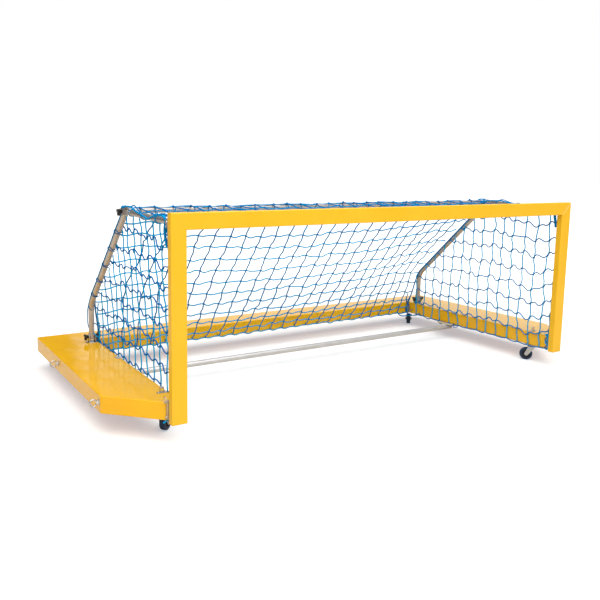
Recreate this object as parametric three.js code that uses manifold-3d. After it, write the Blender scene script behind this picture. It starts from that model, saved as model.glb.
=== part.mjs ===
// A floating water polo goal of the youth size: a rectangular tube frame that stands on a
// U-shaped float, a bent-leg hoop behind it, two side arms between them, the net, and four
// swivel casters that carry it on land. Released at the two corner knobs, the frame folds back.
// X runs to the right along the crossbar, Y away from the field of play and Z up. The origin
// lies on the floor, under the middle of the goal's depth. Lengths are in millimetres.

import * as THREE from "three";
import { mergeVertices } from "three/addons/utils/BufferGeometryUtils.js";
import Module from "manifold-3d";

// General clearances and facet counts.
const clearance = 0.3;
const pinClearance = 0.4;
const overrun = 5;
const weldDistance = 0.001;
const roundSides = 16;
const smallSides = 12;
const smallRadius = 12;
const cornerSteps = 3;

// Goal mouth and the front frame's rectangular tube.
const openingWidth = 2500;
const mouthHeight = 860;
const barFace = 75;
const barDepth = 38;
const barWall = 3;
const barEdgeRadius = 4;

// Float: one wing on each side and a beam across the rear.
const floatInset = 15;
const wingWidth = 295;
const floatLength = 1460;
const rearBeamWidth = 205;
const frontFlat = 68;
const chamferLength = 221;
const floatThickness = 84.2;
const floatEdgeRadius = 7;
const frontCornerRadius = 10;
const chamferCornerRadius = 25;
const rearCornerRadius = 40;
const innerCornerRadius = 14;

// Casters: wheel, fork and top plate, measured from the plate's top face.
const wheelRadius = 40;
const wheelWidth = 30;
const tyreSeatRadius = 30;
const tyreShoulder = 4;
const treadWidth = 18;
const axleDrop = 66;
const casterTrail = 35;
const axleRadius = 5;
const hubBossRadius = 11;
const hubWebWidth = 14;
const hubRimDepth = 5;
const hubRimWidth = 28;
const casterPlateLength = 76;
const casterPlateWidth = 60;
const casterPlateThickness = 3;
const casterPlateCorner = 6;
const casterHoleSpanX = 58;
const casterHoleSpanY = 42;
const casterHoleRadius = 4.5;
const raceRadius = 22;
const raceHeight = 9;
const kingpinRadius = 5;
const kingpinHeadRadius = 9;
const kingpinHeadHeight = 4;
const forkSheet = 3;
const forkInnerWidth = 35;
const forkFront = 18;
const forkBack = 24;
const forkBossRadius = 11;
const forkFrontDepth = 12;
const crownCornerRadius = 14;
const frontCasterInset = 31;
const frontCasterSetback = 129;
const rearCasterInset = 87;
const rearCasterSetback = 117;

// Foot hinge between the frame and the float.
const hingeStandoff = 8;
const hingeRise = 3.5;
const floatStandoff = 11;
const footDrop = 97;
const hingePlateThickness = 2.7;
const hingePlateHeight = 63;
const hingePlateBottom = 77;
const hingePlateWidth = 64;
const earThickness = 4;
const earRadius = 7.4;
const earShoulder = 8;
const lugSideClearance = 0.5;
const lugBack = 6.8;
const lugHook = 5.8;
const hingePinRadius = 4;
const stopDrop = 69;
const stopRadius = 5;
const stopMouthClearance = 1.2;
const stopHeadRadius = 8;
const stopHeadHeight = 6;
const pinTip = 3;
const pinCollarRadius = 6.5;
const pinCollarLength = 3;
const pinTail = 10;
const pullRingRadius = 13;
const pullRingWire = 1.5;

// Side arms, their post brackets and the corner clamps.
const sideOffset = 50;
const armStandoff = 20;
const armDrop = 43;
const armRun = 564;
const armRise = 13;
const armRadius = 14;
const tubeWall = 2;
const armEndGap = 56;
const armNoseInset = 0.5;
const armPinRadius = 5;
const bracketWidth = 44;
const bracketThickness = 4;
const bracketDrop = 97;
const bracketEarDrop = 42;
const bracketEarGap = 0.8;
const cornerPlateRadius = 18;
const cornerPlateLength = 82;
const cornerPlateThickness = 4;
const cornerPlateGap = 0.5;
const weldBlockLength = 30;
const weldBlockHeight = 16;
const weldBlockDepth = 4;

// Three-lobed clamp knobs.
const knobRadius = 20.5;
const knobGripLength = 15;
const knobHubRadius = 9;
const knobHubLength = 8;
const knobEdge = 3;
const knobPoints = 18;
const knobMeanShare = 0.74;
const knobLobeShare = 0.26;
const cornerStudRadius = 4;
const clevisStudRadius = 5;
const studReach = 15;

// Rear hoop and the clevises that carry it.
const legInset = 267;
const legPivotRise = 34.5;
const legStub = 15;
const legRise = 195;
const legLean = 3;
const legRadius = 16;
const legBendRadius = 120;
const legEndReach = 16;
const legBendSteps = 5;
const hoopTubeRadius = 14;
const hoopTubeDrop = 32;
const flangeRadius = 33;
const flangeThickness = 4;
const clevisCheek = 4;
const clevisCheekRadius = 18;

// Stabiliser tube under the float, its plates and the clamp plates on top.
const stabiliserRadius = 16.5;
const stabiliserSetback = 823;
const stabiliserOverhang = 25;
const stabiliserEndSteps = 3;
const stabiliserPlateThickness = 6;
const stabiliserPlateOverhang = 39;
const stabiliserPlateLength = 84;
const stabiliserPlateFront = 42;
const stabiliserPlateWidth = 134;
const stabiliserPlateCorner = 20;
const clampPlateInset = 4;
const clampPlateWidth = 23;
const clampPlateFront = 57;
const clampPlateLength = 44;
const clampPlateThickness = 3;
const clampPlateCorner = 4;

// Pad eyes on top of the wings and ring bolts on their outer sides.
const padEyeInset = 30;
const padEyeSetback = 130;
const padEyeLength = 50;
const padEyeWidth = 20;
const padEyeThickness = 3;
const padEyeCorner = 6;
const padEyeWire = 3;
const padEyeBow = 9;
const padEyeStraight = 16;
const padEyeSteps = 8;
const ringRadius = 16.5;
const ringWire = 3.5;
const ringStandoff = 27;
const ringFlangeRadius = 15;
const ringFlangeThickness = 3;
const ringShankRadius = 5;
const ringHeight = 48;
const frontRingSetback = 239;
const rearRingSetback = 959;

// Net: flat lattices of strands, with their counts of meshes.
const strandWidth = 6;
const strandThickness = 5;
const meshesAcross = 16;
const roofMeshes = 4;
const rearMeshes = 7;
const sideFrontMeshes = 5;
const sideFrontRows = 4;
const sideRearMeshes = 3;
const sideRearRows = 3;
const roofOverlap = 2;
const rearNetBendInset = 25;
const rearNetShelf = 60;
const rearNetFlat = 0.35;
const netHemRise = 2;
const rearNetHemRise = 6;
const sideNetLean = 35;
const sideNetUpright = 150;
const sideNetSplit = 811;
const sideNetGap = 4;
const sideNetRearInset = 28;
const bendMargin = 8;

// Places that follow from the sizes above. Heights count from the floor.
const casterHeight = axleDrop + wheelRadius;
const floatUnderside = casterHeight + clearance;
const floatTop = floatUnderside + floatThickness;
const hingeY = barDepth + hingeStandoff;
const hingeZ = floatTop + hingeRise;
const frameBottom = hingeZ - footDrop;
const frameHeight = mouthHeight + barFace;
const frameTop = frameBottom + frameHeight;
const openingHalf = openingWidth / 2;
const frameHalf = openingHalf + barFace;
const floatFront = hingeY + floatStandoff;
const floatRear = floatFront + floatLength;
const beamInner = floatRear - rearBeamWidth;
const floatInner = openingHalf + floatInset;
const floatOuter = floatInner + wingWidth;
const hingeX = floatInner + frontFlat / 2;
const sideX = openingHalf + sideOffset;
const armPivot = new THREE.Vector2(barDepth + armStandoff, frameTop - armDrop);
const corner = new THREE.Vector2(armPivot.x + armRun, armPivot.y + armRise);
const armSlope = armRise / armRun;
const armLength = Math.hypot(armRun, armRise);
const legPivot = new THREE.Vector2(floatRear - legInset, floatTop + legPivotRise);
const legCorner = new THREE.Vector2(legPivot.x - legLean, legPivot.y + legRise);
const legSlope = (legCorner.y - corner.y) / (legCorner.x - corner.x);
const legDown = legCorner.clone().sub(corner).normalize();
const legNormal = new THREE.Vector2(-legDown.y, legDown.x);
const hoopTube = corner.clone()
  .addScaledVector(legDown, hoopTubeDrop)
  .addScaledVector(legNormal, legRadius + hoopTubeRadius + clearance);
const clevisGap = legRadius + cornerPlateGap;
const clevisOuter = clevisGap + clevisCheek;
const stabiliserY = floatFront + stabiliserSetback;

// Directions in which an outline is pushed out. The outline's own two axes are Y and Z for
// alongX, X and Z for acrossY (towards -Y), and X and Y for alongZ.
const axisX = new THREE.Vector3(1, 0, 0);
const axisY = new THREE.Vector3(0, 1, 0);
const axisZ = new THREE.Vector3(0, 0, 1);
const alongX = new THREE.Matrix4().makeBasis(axisY, axisZ, axisX);
const acrossY = new THREE.Matrix4().makeBasis(axisX, axisZ, axisY.clone().negate());
const alongZ = new THREE.Matrix4();

const wasm = await Module();
wasm.setup();

// An indexed copy with shared vertices and no face of zero width.
function welded(geometry) {
  const bare = geometry.clone();
  for (const name of Object.keys(bare.attributes)) {
    if (name !== "position") bare.deleteAttribute(name);
  }
  const joined = mergeVertices(bare, weldDistance);
  const kept = [];
  for (let i = 0; i < joined.index.count; i += 3) {
    const [a, b, c] = [0, 1, 2].map((k) => joined.index.getX(i + k));
    if (a !== b && b !== c && c !== a) kept.push(a, b, c);
  }
  joined.setIndex(kept);
  return joined;
}

function solid(geometry) {
  const { attributes, index } = welded(geometry);
  const vertProperties = new Float32Array(attributes.position.array);
  const triVerts = new Uint32Array(index.array);
  return new wasm.Manifold(new wasm.Mesh({ numProp: 3, vertProperties, triVerts }));
}

function geometryOf(body) {
  const { vertProperties, triVerts } = body.getMesh();
  const geometry = new THREE.BufferGeometry();
  geometry.setAttribute("position", new THREE.BufferAttribute(vertProperties, 3));
  geometry.setIndex(new THREE.BufferAttribute(triVerts, 1));
  return geometry;
}

// The added geometries as one body, less the cut ones.
function formed(added, cuts = []) {
  let body = solid(added[0]);
  for (const geometry of added.slice(1)) body = body.add(solid(geometry));
  for (const geometry of cuts) body = body.subtract(solid(geometry));
  return geometryOf(body);
}

// A closed outline through corner points, each [across, up, corner radius].
function outline(corners) {
  const shape = new THREE.Shape();
  corners.forEach(([across, up, radius = 0], i) => {
    const here = new THREE.Vector2(across, up);
    const before = new THREE.Vector2(...corners.at(i - 1).slice(0, 2));
    const after = new THREE.Vector2(...corners[(i + 1) % corners.length].slice(0, 2));
    const start = here.clone().addScaledVector(before.sub(here).normalize(), radius);
    const end = here.clone().addScaledVector(after.sub(here).normalize(), radius);
    if (i === 0) shape.moveTo(start.x, start.y);
    else shape.lineTo(start.x, start.y);
    if (radius > 0) shape.quadraticCurveTo(here.x, here.y, end.x, end.y);
  });
  shape.closePath();
  return shape;
}

function rectangle([left, bottom], [right, top], radius = 0) {
  return outline([
    [left, bottom, radius],
    [right, bottom, radius],
    [right, top, radius],
    [left, top, radius],
  ]);
}

const sidesFor = (radius) => (radius < smallRadius ? smallSides : roundSides);

function circle(x, y, radius, sides = sidesFor(radius)) {
  const points = [];
  for (let i = 0; i < sides; i++) {
    const angle = (2 * Math.PI * i) / sides;
    points.push(new THREE.Vector2(x + radius * Math.cos(angle), y + radius * Math.sin(angle)));
  }
  return new THREE.Shape(points);
}

// An outline pushed out between two stations of an axis, with a rounded edge if asked.
function prism(shape, from, to, axes = alongZ, edge = 0, edgeSteps = 1) {
  const geometry = new THREE.ExtrudeGeometry(shape, {
    depth: to - from - 2 * edge,
    curveSegments: cornerSteps,
    steps: 1,
    bevelEnabled: edge > 0,
    bevelThickness: edge,
    bevelSize: edge,
    bevelOffset: -edge,
    bevelSegments: edgeSteps,
  });
  geometry.translate(0, 0, from + edge);
  return geometry.applyMatrix4(axes);
}

// A round bar between two stations of an axis, about a centre in the axis's outline plane.
function rod(radius, from, to, axes = alongZ, [across, up] = [0, 0], sides = sidesFor(radius)) {
  const geometry = new THREE.CylinderGeometry(radius, radius, to - from, sides);
  geometry.rotateX(Math.PI / 2);
  geometry.translate(across, up, (from + to) / 2);
  return geometry.applyMatrix4(axes);
}

function block(low, high) {
  const size = high.map((value, i) => value - low[i]);
  const centre = high.map((value, i) => (value + low[i]) / 2);
  return new THREE.BoxGeometry(...size).translate(...centre);
}

// A round tube along stations in the YZ plane, each { point, along }, with its bore open at
// both ends. Each ring lies square to its station's direction. A wall as thick as the radius
// makes a solid bar.
function tubeAlong(stations, radius, wall, sides) {
  const positions = [];
  for (const { point, along } of stations) {
    const tangent = new THREE.Vector3(0, along.x, along.y);
    const up = new THREE.Vector3().crossVectors(tangent, axisX);
    for (const ringRadius of [radius, radius - wall]) {
      for (let j = 0; j < sides; j++) {
        const angle = (2 * Math.PI * j) / sides;
        const vertex = new THREE.Vector3(0, point.x, point.y)
          .addScaledVector(axisX, ringRadius * Math.cos(angle))
          .addScaledVector(up, ringRadius * Math.sin(angle));
        positions.push(vertex.x, vertex.y, vertex.z);
      }
    }
  }
  const at = (station, inner, j) => (2 * station + inner) * sides + (j % sides);
  const faces = [];
  const quad = (a, b, c, d) => faces.push(a, b, c, a, c, d);
  const last = stations.length - 1;
  for (let j = 0; j < sides; j++) {
    for (let k = 0; k < last; k++) {
      quad(at(k, 0, j), at(k, 0, j + 1), at(k + 1, 0, j + 1), at(k + 1, 0, j));
      quad(at(k, 1, j), at(k + 1, 1, j), at(k + 1, 1, j + 1), at(k, 1, j + 1));
    }
    quad(at(0, 0, j), at(0, 1, j), at(0, 1, j + 1), at(0, 0, j + 1));
    quad(at(last, 0, j), at(last, 0, j + 1), at(last, 1, j + 1), at(last, 1, j));
  }
  const geometry = new THREE.BufferGeometry();
  geometry.setAttribute("position", new THREE.Float32BufferAttribute(positions, 3));
  geometry.setIndex(faces);
  return geometry;
}

// The same geometry for the other side of the goal.
function mirrored(geometry) {
  const copy = welded(geometry).scale(-1, 1, 1);
  const order = copy.index.array;
  const flipped = [];
  for (let i = 0; i < order.length; i += 3) flipped.push(order[i], order[i + 2], order[i + 1]);
  copy.setIndex(flipped);
  return copy;
}

const look = (color, roughness, metalness) =>
  new THREE.MeshStandardMaterial({ color, roughness, metalness });
const framePaint = look(0xf2b01c, 0.4, 0.1);
const floatPlastic = look(0xf5b918, 0.3, 0);
const steel = look(0xb9bcc0, 0.35, 0.9);
const tubeAluminium = look(0x9d9a93, 0.45, 0.8);
const knobPlastic = look(0x1b1c1f, 0.6, 0);
const wheelPlastic = look(0x2a3550, 0.5, 0);
const tyreRubber = look(0x1d2a4a, 0.7, 0);
const blackSteel = look(0x25272b, 0.5, 0.6);
const platePlastic = look(0xcbbf9f, 0.5, 0);
const netCord = look(0x2457b8, 0.8, 0);

const inner = new THREE.Group();

function add(name, geometry, material, position = [0, 0, 0], parent = inner) {
  const mesh = new THREE.Mesh(geometry, material);
  mesh.name = name;
  mesh.position.set(...position);
  parent.add(mesh);
  return mesh;
}

// A piece for each side. Its geometry is drawn for the right side, with +X outwards.
function addPair(name, geometry, material, [x, y, z]) {
  add(`right_${name}`, geometry, material, [x, y, z]);
  add(`left_${name}`, mirrored(geometry), material, [-x, y, z]);
}

// Front frame: rectangular tube, cut at 45 degrees where a post meets the crossbar.
function barShape([left, bottom], [right, top]) {
  const shape = rectangle([left, bottom], [right, top], barEdgeRadius);
  shape.holes.push(rectangle([left + barWall, bottom + barWall], [right - barWall, top - barWall]));
  return shape;
}

const mitreGap = clearance * Math.SQRT1_2;

function post() {
  const geometry = prism(barShape([0, 0], [barFace, barDepth]), 0, frameHeight);
  const { position } = geometry.attributes;
  for (let i = 0; i < position.count; i++) {
    if (position.getZ(i) === 0) continue;
    position.setZ(i, frameHeight - barFace + position.getX(i) - mitreGap);
  }
  return geometry;
}

function crossbar() {
  const geometry = prism(barShape([0, 0], [barDepth, barFace]), -frameHalf, frameHalf, alongX);
  const { position } = geometry.attributes;
  for (let i = 0; i < position.count; i++) {
    const end = openingHalf + position.getZ(i) - mitreGap;
    position.setX(i, Math.sign(position.getX(i)) * end);
  }
  return geometry;
}

addPair("post", post(), framePaint, [openingHalf, 0, frameBottom]);
add("crossbar", crossbar(), framePaint, [0, 0, frameTop - barFace]);

// Float: the U outline with rounded corners and edges.
const wingFront = [
  [floatInner, floatFront, frontCornerRadius],
  [floatInner + frontFlat, floatFront, frontCornerRadius],
  [floatOuter, floatFront + chamferLength, chamferCornerRadius],
  [floatOuter, floatRear, rearCornerRadius],
];
const floatOutline = outline([
  ...wingFront,
  ...wingFront.toReversed().map(([x, y, radius]) => [-x, y, radius]),
  [-floatInner, beamInner, innerCornerRadius],
  [floatInner, beamInner, innerCornerRadius],
]);
const floatEdgeSteps = 2;
add(
  "float_shell",
  prism(floatOutline, floatUnderside, floatTop, alongZ, floatEdgeRadius, floatEdgeSteps),
  floatPlastic,
);

// Foot hinge. Its pieces are drawn about the hinge's middle, with the pin axis along X.
const earInner = hingePlateWidth / 2 - earThickness;
const lugHalf = earInner - lugSideClearance;
const hingePlateBack = floatStandoff - clearance;
const hingePlateFront = hingePlateBack - hingePlateThickness;
const hingeBore = hingePinRadius + pinClearance;
const hingeShelf = hingePlateHeight - hingePlateBottom;

function footBracket() {
  const ear = new THREE.Shape();
  ear.moveTo(-earRadius, -hingePlateBottom);
  ear.lineTo(hingePlateBack, -hingePlateBottom);
  ear.lineTo(hingePlateBack, hingeShelf);
  ear.lineTo(earRadius, hingeShelf + earShoulder);
  ear.absarc(0, 0, earRadius, 0, Math.PI);
  ear.closePath();
  ear.holes.push(circle(0, 0, hingeBore));
  const half = hingePlateWidth / 2;
  return formed([
    block([-half, hingePlateFront, -hingePlateBottom], [half, hingePlateBack, hingeShelf]),
    prism(ear, -half, -earInner, alongX),
    prism(ear, earInner, half, alongX),
    rod(stopRadius, -half, half, alongX, [0, -stopDrop]),
    rod(stopHeadRadius, half, half + stopHeadHeight, alongX, [0, -stopDrop]),
  ]);
}

function postLug() {
  const front = clearance - hingeStandoff;
  const bottom = -stopDrop - stopRadius - stopMouthClearance - lugHook;
  const side = new THREE.Shape();
  side.moveTo(front, bottom);
  side.lineTo(lugBack, bottom);
  side.absarc(0, 0, lugBack, 0, Math.PI / 2);
  side.lineTo(front, lugBack);
  side.closePath();
  const mouth = stopRadius + stopMouthClearance;
  return formed(
    [prism(side, -lugHalf, lugHalf, alongX)],
    [
      rod(hingeBore, -lugHalf - overrun, lugHalf + overrun, alongX),
      rod(stopRadius + clearance, -lugHalf - overrun, lugHalf + overrun, alongX, [0, -stopDrop]),
      block(
        [-lugHalf - overrun, 0, -stopDrop - mouth],
        [lugHalf + overrun, lugBack + overrun, -stopDrop + mouth],
      ),
    ],
  );
}

function hingePin() {
  const half = hingePlateWidth / 2;
  const collar = half + clearance;
  const tail = collar + pinCollarLength + pinTail;
  const ring = new THREE.TorusGeometry(pullRingRadius, pullRingWire, 5, 16);
  ring.rotateY(Math.PI / 2);
  ring.translate(collar + pinCollarLength + pinTail / 2, 0, pullRingRadius);
  return formed([
    rod(hingePinRadius, -half - pinTip, tail, alongX),
    rod(pinCollarRadius, collar, collar + pinCollarLength, alongX),
    ring,
  ]);
}

addPair("foot_bracket", footBracket(), steel, [hingeX, hingeY, hingeZ]);
addPair("post_lug", postLug(), steel, [hingeX, hingeY, hingeZ]);
addPair("hinge_pin", hingePin(), steel, [hingeX, hingeY, hingeZ]);

// Arm bracket on the back of a post, drawn about the arm's pivot with its pin fixed in it.
const bracketEarInner = armRadius + bracketEarGap;
const bracketEarOuter = bracketEarInner + earThickness;

function armBracket() {
  const front = clearance - armStandoff;
  const ear = new THREE.Shape();
  ear.moveTo(front, -bracketEarDrop);
  ear.absarc(0, 0, armRadius, -Math.PI / 4, Math.PI / 2);
  ear.lineTo(front, armRadius);
  ear.closePath();
  const half = bracketWidth / 2;
  return formed([
    block([-half, front, -bracketDrop], [half, front + bracketThickness, armRadius]),
    prism(ear, -bracketEarOuter, -bracketEarInner, alongX),
    prism(ear, bracketEarInner, bracketEarOuter, alongX),
    rod(armPinRadius, -bracketEarOuter, bracketEarOuter, alongX),
  ]);
}

addPair("arm_bracket", armBracket(), steel, [sideX, armPivot.x, armPivot.y]);

// Side arm, drawn along +Y from its pivot: the tube, its bored nose and the corner plate
// that passes outside the leg, held off the tube by a weld block.
const cornerPlateInner = legRadius + cornerPlateGap;
const cornerPlateOuter = cornerPlateInner + cornerPlateThickness;

function sideArm() {
  const tubeEnd = armLength - armEndGap;
  const noseRadius = armRadius - armNoseInset;
  const ringShape = circle(0, 0, armRadius);
  ringShape.holes.push(circle(0, 0, armRadius - tubeWall));
  const tube = prism(ringShape, -tubeEnd, 0, acrossY);
  const plate = new THREE.Shape();
  plate.moveTo(armLength - cornerPlateLength, -armRadius);
  plate.lineTo(armLength - armRadius, -cornerPlateRadius);
  plate.absarc(armLength, 0, cornerPlateRadius, -Math.PI / 2, Math.PI / 2);
  plate.lineTo(armLength - armRadius, cornerPlateRadius);
  plate.lineTo(armLength - cornerPlateLength, armRadius);
  plate.closePath();
  plate.holes.push(circle(armLength, 0, cornerStudRadius + pinClearance));
  const blockBack = tubeEnd - overrun;
  return formed(
    [
      tube,
      rod(noseRadius, -armRadius, armRadius, alongX),
      block(
        [armRadius - weldBlockDepth, blockBack - weldBlockLength, -weldBlockHeight / 2],
        [cornerPlateInner + weldDistance, blockBack, weldBlockHeight / 2],
      ),
      prism(plate, cornerPlateInner, cornerPlateOuter, alongX),
    ],
    [rod(armPinRadius + clearance, -armRadius - overrun, armRadius + overrun, alongX)],
  );
}

// A clamp knob with its hub towards -X and one lobe pointing down, from a station outwards.
function knobParts(from) {
  const lobes = new THREE.Shape();
  for (let i = 0; i < knobPoints; i++) {
    const angle = (2 * Math.PI * i) / knobPoints;
    const reach = knobRadius * (knobMeanShare + knobLobeShare * Math.cos(3 * angle));
    const turned = angle - Math.PI / 2;
    const point = [reach * Math.cos(turned), reach * Math.sin(turned)];
    if (i === 0) lobes.moveTo(...point);
    else lobes.lineTo(...point);
  }
  lobes.closePath();
  const grip = from + knobHubLength;
  return [
    rod(knobHubRadius, from, grip + knobEdge, alongX),
    prism(lobes, grip, grip + knobGripLength, alongX, knobEdge),
  ];
}

function cornerKnob() {
  const from = cornerPlateOuter + clearance;
  return formed([
    ...knobParts(from),
    rod(cornerStudRadius, cornerPlateInner, from + knobHubLength, alongX),
  ]);
}

const armGroups = [-1, 1].map((sign) => {
  const group = new THREE.Group();
  group.position.set(sign * sideX, armPivot.x, armPivot.y);
  group.rotation.x = Math.atan(armSlope);
  inner.add(group);
  return group;
});
const knobPlace = [0, armLength, 0];
add("left_side_arm", mirrored(sideArm()), tubeAluminium, [0, 0, 0], armGroups[0]);
add("right_side_arm", sideArm(), tubeAluminium, [0, 0, 0], armGroups[1]);
add("left_corner_knob", mirrored(cornerKnob()), knobPlastic, knobPlace, armGroups[0]);
add("right_corner_knob", cornerKnob(), knobPlastic, knobPlace, armGroups[1]);

// Rear legs: an upright foot, one bend and a straight run up to the corner clamp.
function legStations() {
  const up = legCorner.clone().sub(legPivot).normalize();
  const forward = legDown.clone().negate();
  const turn = up.angleTo(forward);
  const tangentLength = legBendRadius * Math.tan(turn / 2);
  const bendStart = legCorner.clone().addScaledVector(up, -tangentLength);
  const inward = new THREE.Vector2(-up.y, up.x);
  const centre = bendStart.clone().addScaledVector(inward, legBendRadius);
  const stations = [{ point: legPivot.clone().addScaledVector(up, -legStub), along: up }];
  for (let i = 0; i <= legBendSteps; i++) {
    const angle = (turn * i) / legBendSteps;
    const along = up.clone().rotateAround(new THREE.Vector2(), angle);
    const outward = new THREE.Vector2(along.y, -along.x);
    stations.push({ point: centre.clone().addScaledVector(outward, legBendRadius), along });
  }
  const top = corner.clone().addScaledVector(forward, legEndReach);
  stations.push({ point: top, along: forward });
  return stations;
}

const legTube = tubeAlong(legStations(), legRadius, tubeWall, roundSides);
const legHole = rod(
  clevisStudRadius + pinClearance,
  -legRadius - overrun,
  legRadius + overrun,
  alongX,
  [legPivot.x, legPivot.y],
);
addPair("rear_leg", formed([legTube], [legHole]), tubeAluminium, [sideX, 0, 0]);

const hoopRing = circle(0, 0, hoopTubeRadius);
hoopRing.holes.push(circle(0, 0, hoopTubeRadius - tubeWall));
const hoopHalf = sideX + legRadius;
add(
  "rear_top_tube",
  prism(hoopRing, -hoopHalf, hoopHalf, alongX),
  tubeAluminium,
  [0, hoopTube.x, hoopTube.y],
);

// Leg clevis on the wing, drawn about the leg's pivot, and its two knobs: the outer one
// carries the stud through cheeks and leg, the inner one is the nut on its end.
function legClevis() {
  const bottom = clearance - legPivotRise;
  const cheek = new THREE.Shape();
  cheek.moveTo(-clevisCheekRadius, bottom);
  cheek.lineTo(clevisCheekRadius, bottom);
  cheek.absarc(0, 0, clevisCheekRadius, 0, Math.PI);
  cheek.closePath();
  cheek.holes.push(circle(0, 0, clevisStudRadius + pinClearance));
  return formed([
    rod(flangeRadius, bottom, bottom + flangeThickness),
    prism(cheek, -clevisOuter, -clevisGap, alongX),
    prism(cheek, clevisGap, clevisOuter, alongX),
  ]);
}

const studTip = clevisOuter + studReach;

function studKnob() {
  const from = clevisOuter + clearance;
  return formed([
    ...knobParts(from),
    rod(clevisStudRadius, -studTip, from + knobHubLength, alongX),
  ]);
}

function nutKnob() {
  const from = clevisOuter + clearance;
  const bore = clevisStudRadius + pinClearance;
  return formed(knobParts(from), [rod(bore, from - overrun, studTip + pinClearance, alongX)]);
}

addPair("leg_clevis", legClevis(), steel, [sideX, legPivot.x, legPivot.y]);
addPair("clevis_stud_knob", studKnob(), knobPlastic, [sideX, legPivot.x, legPivot.y]);
addPair("clevis_nut_knob", mirrored(nutKnob()), knobPlastic, [sideX, legPivot.x, legPivot.y]);

// Stabiliser tube with rounded ends, its two plates and the clamp plates above them.
const stabiliserHalf = floatInner + stabiliserOverhang;

function stabiliserTube() {
  const profile = [new THREE.Vector2(0, -stabiliserHalf)];
  for (const sign of [-1, 1]) {
    for (let i = 0; i < stabiliserEndSteps; i++) {
      const share = sign < 0 ? i + 1 : stabiliserEndSteps - i;
      const angle = (Math.PI / 2) * (share / stabiliserEndSteps);
      const radius = stabiliserRadius * Math.sin(angle);
      const inset = stabiliserRadius * (1 - Math.cos(angle));
      profile.push(new THREE.Vector2(radius, sign * (stabiliserHalf - inset)));
    }
  }
  profile.push(new THREE.Vector2(0, stabiliserHalf));
  const geometry = new THREE.LatheGeometry(profile, roundSides);
  geometry.rotateZ(-Math.PI / 2);
  return welded(geometry);
}

const stabiliserZ = casterHeight - stabiliserPlateThickness - clearance - stabiliserRadius;
add("stabiliser_tube", stabiliserTube(), tubeAluminium, [0, stabiliserY, stabiliserZ]);
const stabiliserPlate = prism(
  rectangle(
    [-stabiliserPlateOverhang, -stabiliserPlateFront],
    [stabiliserPlateLength - stabiliserPlateOverhang, stabiliserPlateWidth - stabiliserPlateFront],
    stabiliserPlateCorner,
  ),
  -stabiliserPlateThickness,
  0,
);
addPair("stabiliser_plate", stabiliserPlate, platePlastic, [floatInner, stabiliserY, casterHeight]);
const clampPlate = prism(
  rectangle([0, 0], [clampPlateWidth, clampPlateLength], clampPlateCorner),
  clearance,
  clearance + clampPlateThickness,
);
const clampPlatePlace = [floatInner + clampPlateInset, stabiliserY - clampPlateFront, floatTop];
addPair("clamp_plate", clampPlate, steel, clampPlatePlace);

// Casters, drawn about the swivel axis from the top plate's upper face, with the trail
// along +X.
function casterPlate() {
  const shape = rectangle(
    [-casterPlateLength / 2, -casterPlateWidth / 2],
    [casterPlateLength / 2, casterPlateWidth / 2],
    casterPlateCorner,
  );
  for (const x of [-casterHoleSpanX / 2, casterHoleSpanX / 2]) {
    for (const y of [-casterHoleSpanY / 2, casterHoleSpanY / 2]) {
      shape.holes.push(circle(x, y, casterHoleRadius, smallSides / 2));
    }
  }
  const raceBottom = -casterPlateThickness - raceHeight;
  const headTop = raceBottom - forkSheet - 2 * clearance;
  return formed([
    prism(shape, -casterPlateThickness, 0),
    rod(raceRadius, raceBottom, -casterPlateThickness),
    rod(kingpinRadius, headTop, raceBottom),
    rod(kingpinHeadRadius, headTop - kingpinHeadHeight, headTop),
  ]);
}

function casterFork() {
  const top = -casterPlateThickness - raceHeight - clearance;
  const half = forkInnerWidth / 2 + forkSheet;
  const crown = rectangle([-raceRadius, -half], [forkBack + forkSheet, half], crownCornerRadius);
  crown.holes.push(circle(0, 0, kingpinRadius + clearance));
  const tilt = Math.PI / 8;
  const side = new THREE.Shape();
  side.moveTo(-forkFront + forkSheet, top);
  side.lineTo(forkBack - forkSheet, top);
  side.absarc(casterTrail, -axleDrop, forkBossRadius, tilt, tilt - Math.PI, true);
  side.lineTo(-forkFront + forkSheet, top - forkFrontDepth);
  side.closePath();
  return formed([
    prism(crown, top - forkSheet, top),
    prism(side, -half, -forkInnerWidth / 2, acrossY),
    prism(side, forkInnerWidth / 2, half, acrossY),
    rod(axleRadius, -half - forkSheet, half + forkSheet, acrossY, [casterTrail, -axleDrop]),
  ]);
}

function wheelHub() {
  const bore = axleRadius + clearance;
  const bossHalf = forkInnerWidth / 2 - clearance;
  const webHalf = hubWebWidth / 2;
  const rimHalf = hubRimWidth / 2;
  const rimInner = tyreSeatRadius - hubRimDepth;
  const half = [
    [bore, bossHalf],
    [hubBossRadius, bossHalf],
    [rimInner, webHalf],
    [rimInner, rimHalf],
    [tyreSeatRadius, rimHalf],
  ];
  const upper = half.toReversed();
  const profile = [...half.map(([r, y]) => [r, -y]), ...upper, [bore, -bossHalf]];
  return welded(new THREE.LatheGeometry(profile.map((p) => new THREE.Vector2(...p)), roundSides));
}

const tyreSides = 24;

function tyre() {
  const inside = tyreSeatRadius + clearance;
  const half = [
    [inside, hubRimWidth / 2],
    [wheelRadius - tyreShoulder, wheelWidth / 2],
    [wheelRadius, treadWidth / 2],
  ];
  const profile = [
    ...half.map(([r, y]) => [r, -y]),
    ...half.toReversed(),
    [inside, -hubRimWidth / 2],
  ];
  return welded(new THREE.LatheGeometry(profile.map((p) => new THREE.Vector2(...p)), tyreSides));
}

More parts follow.
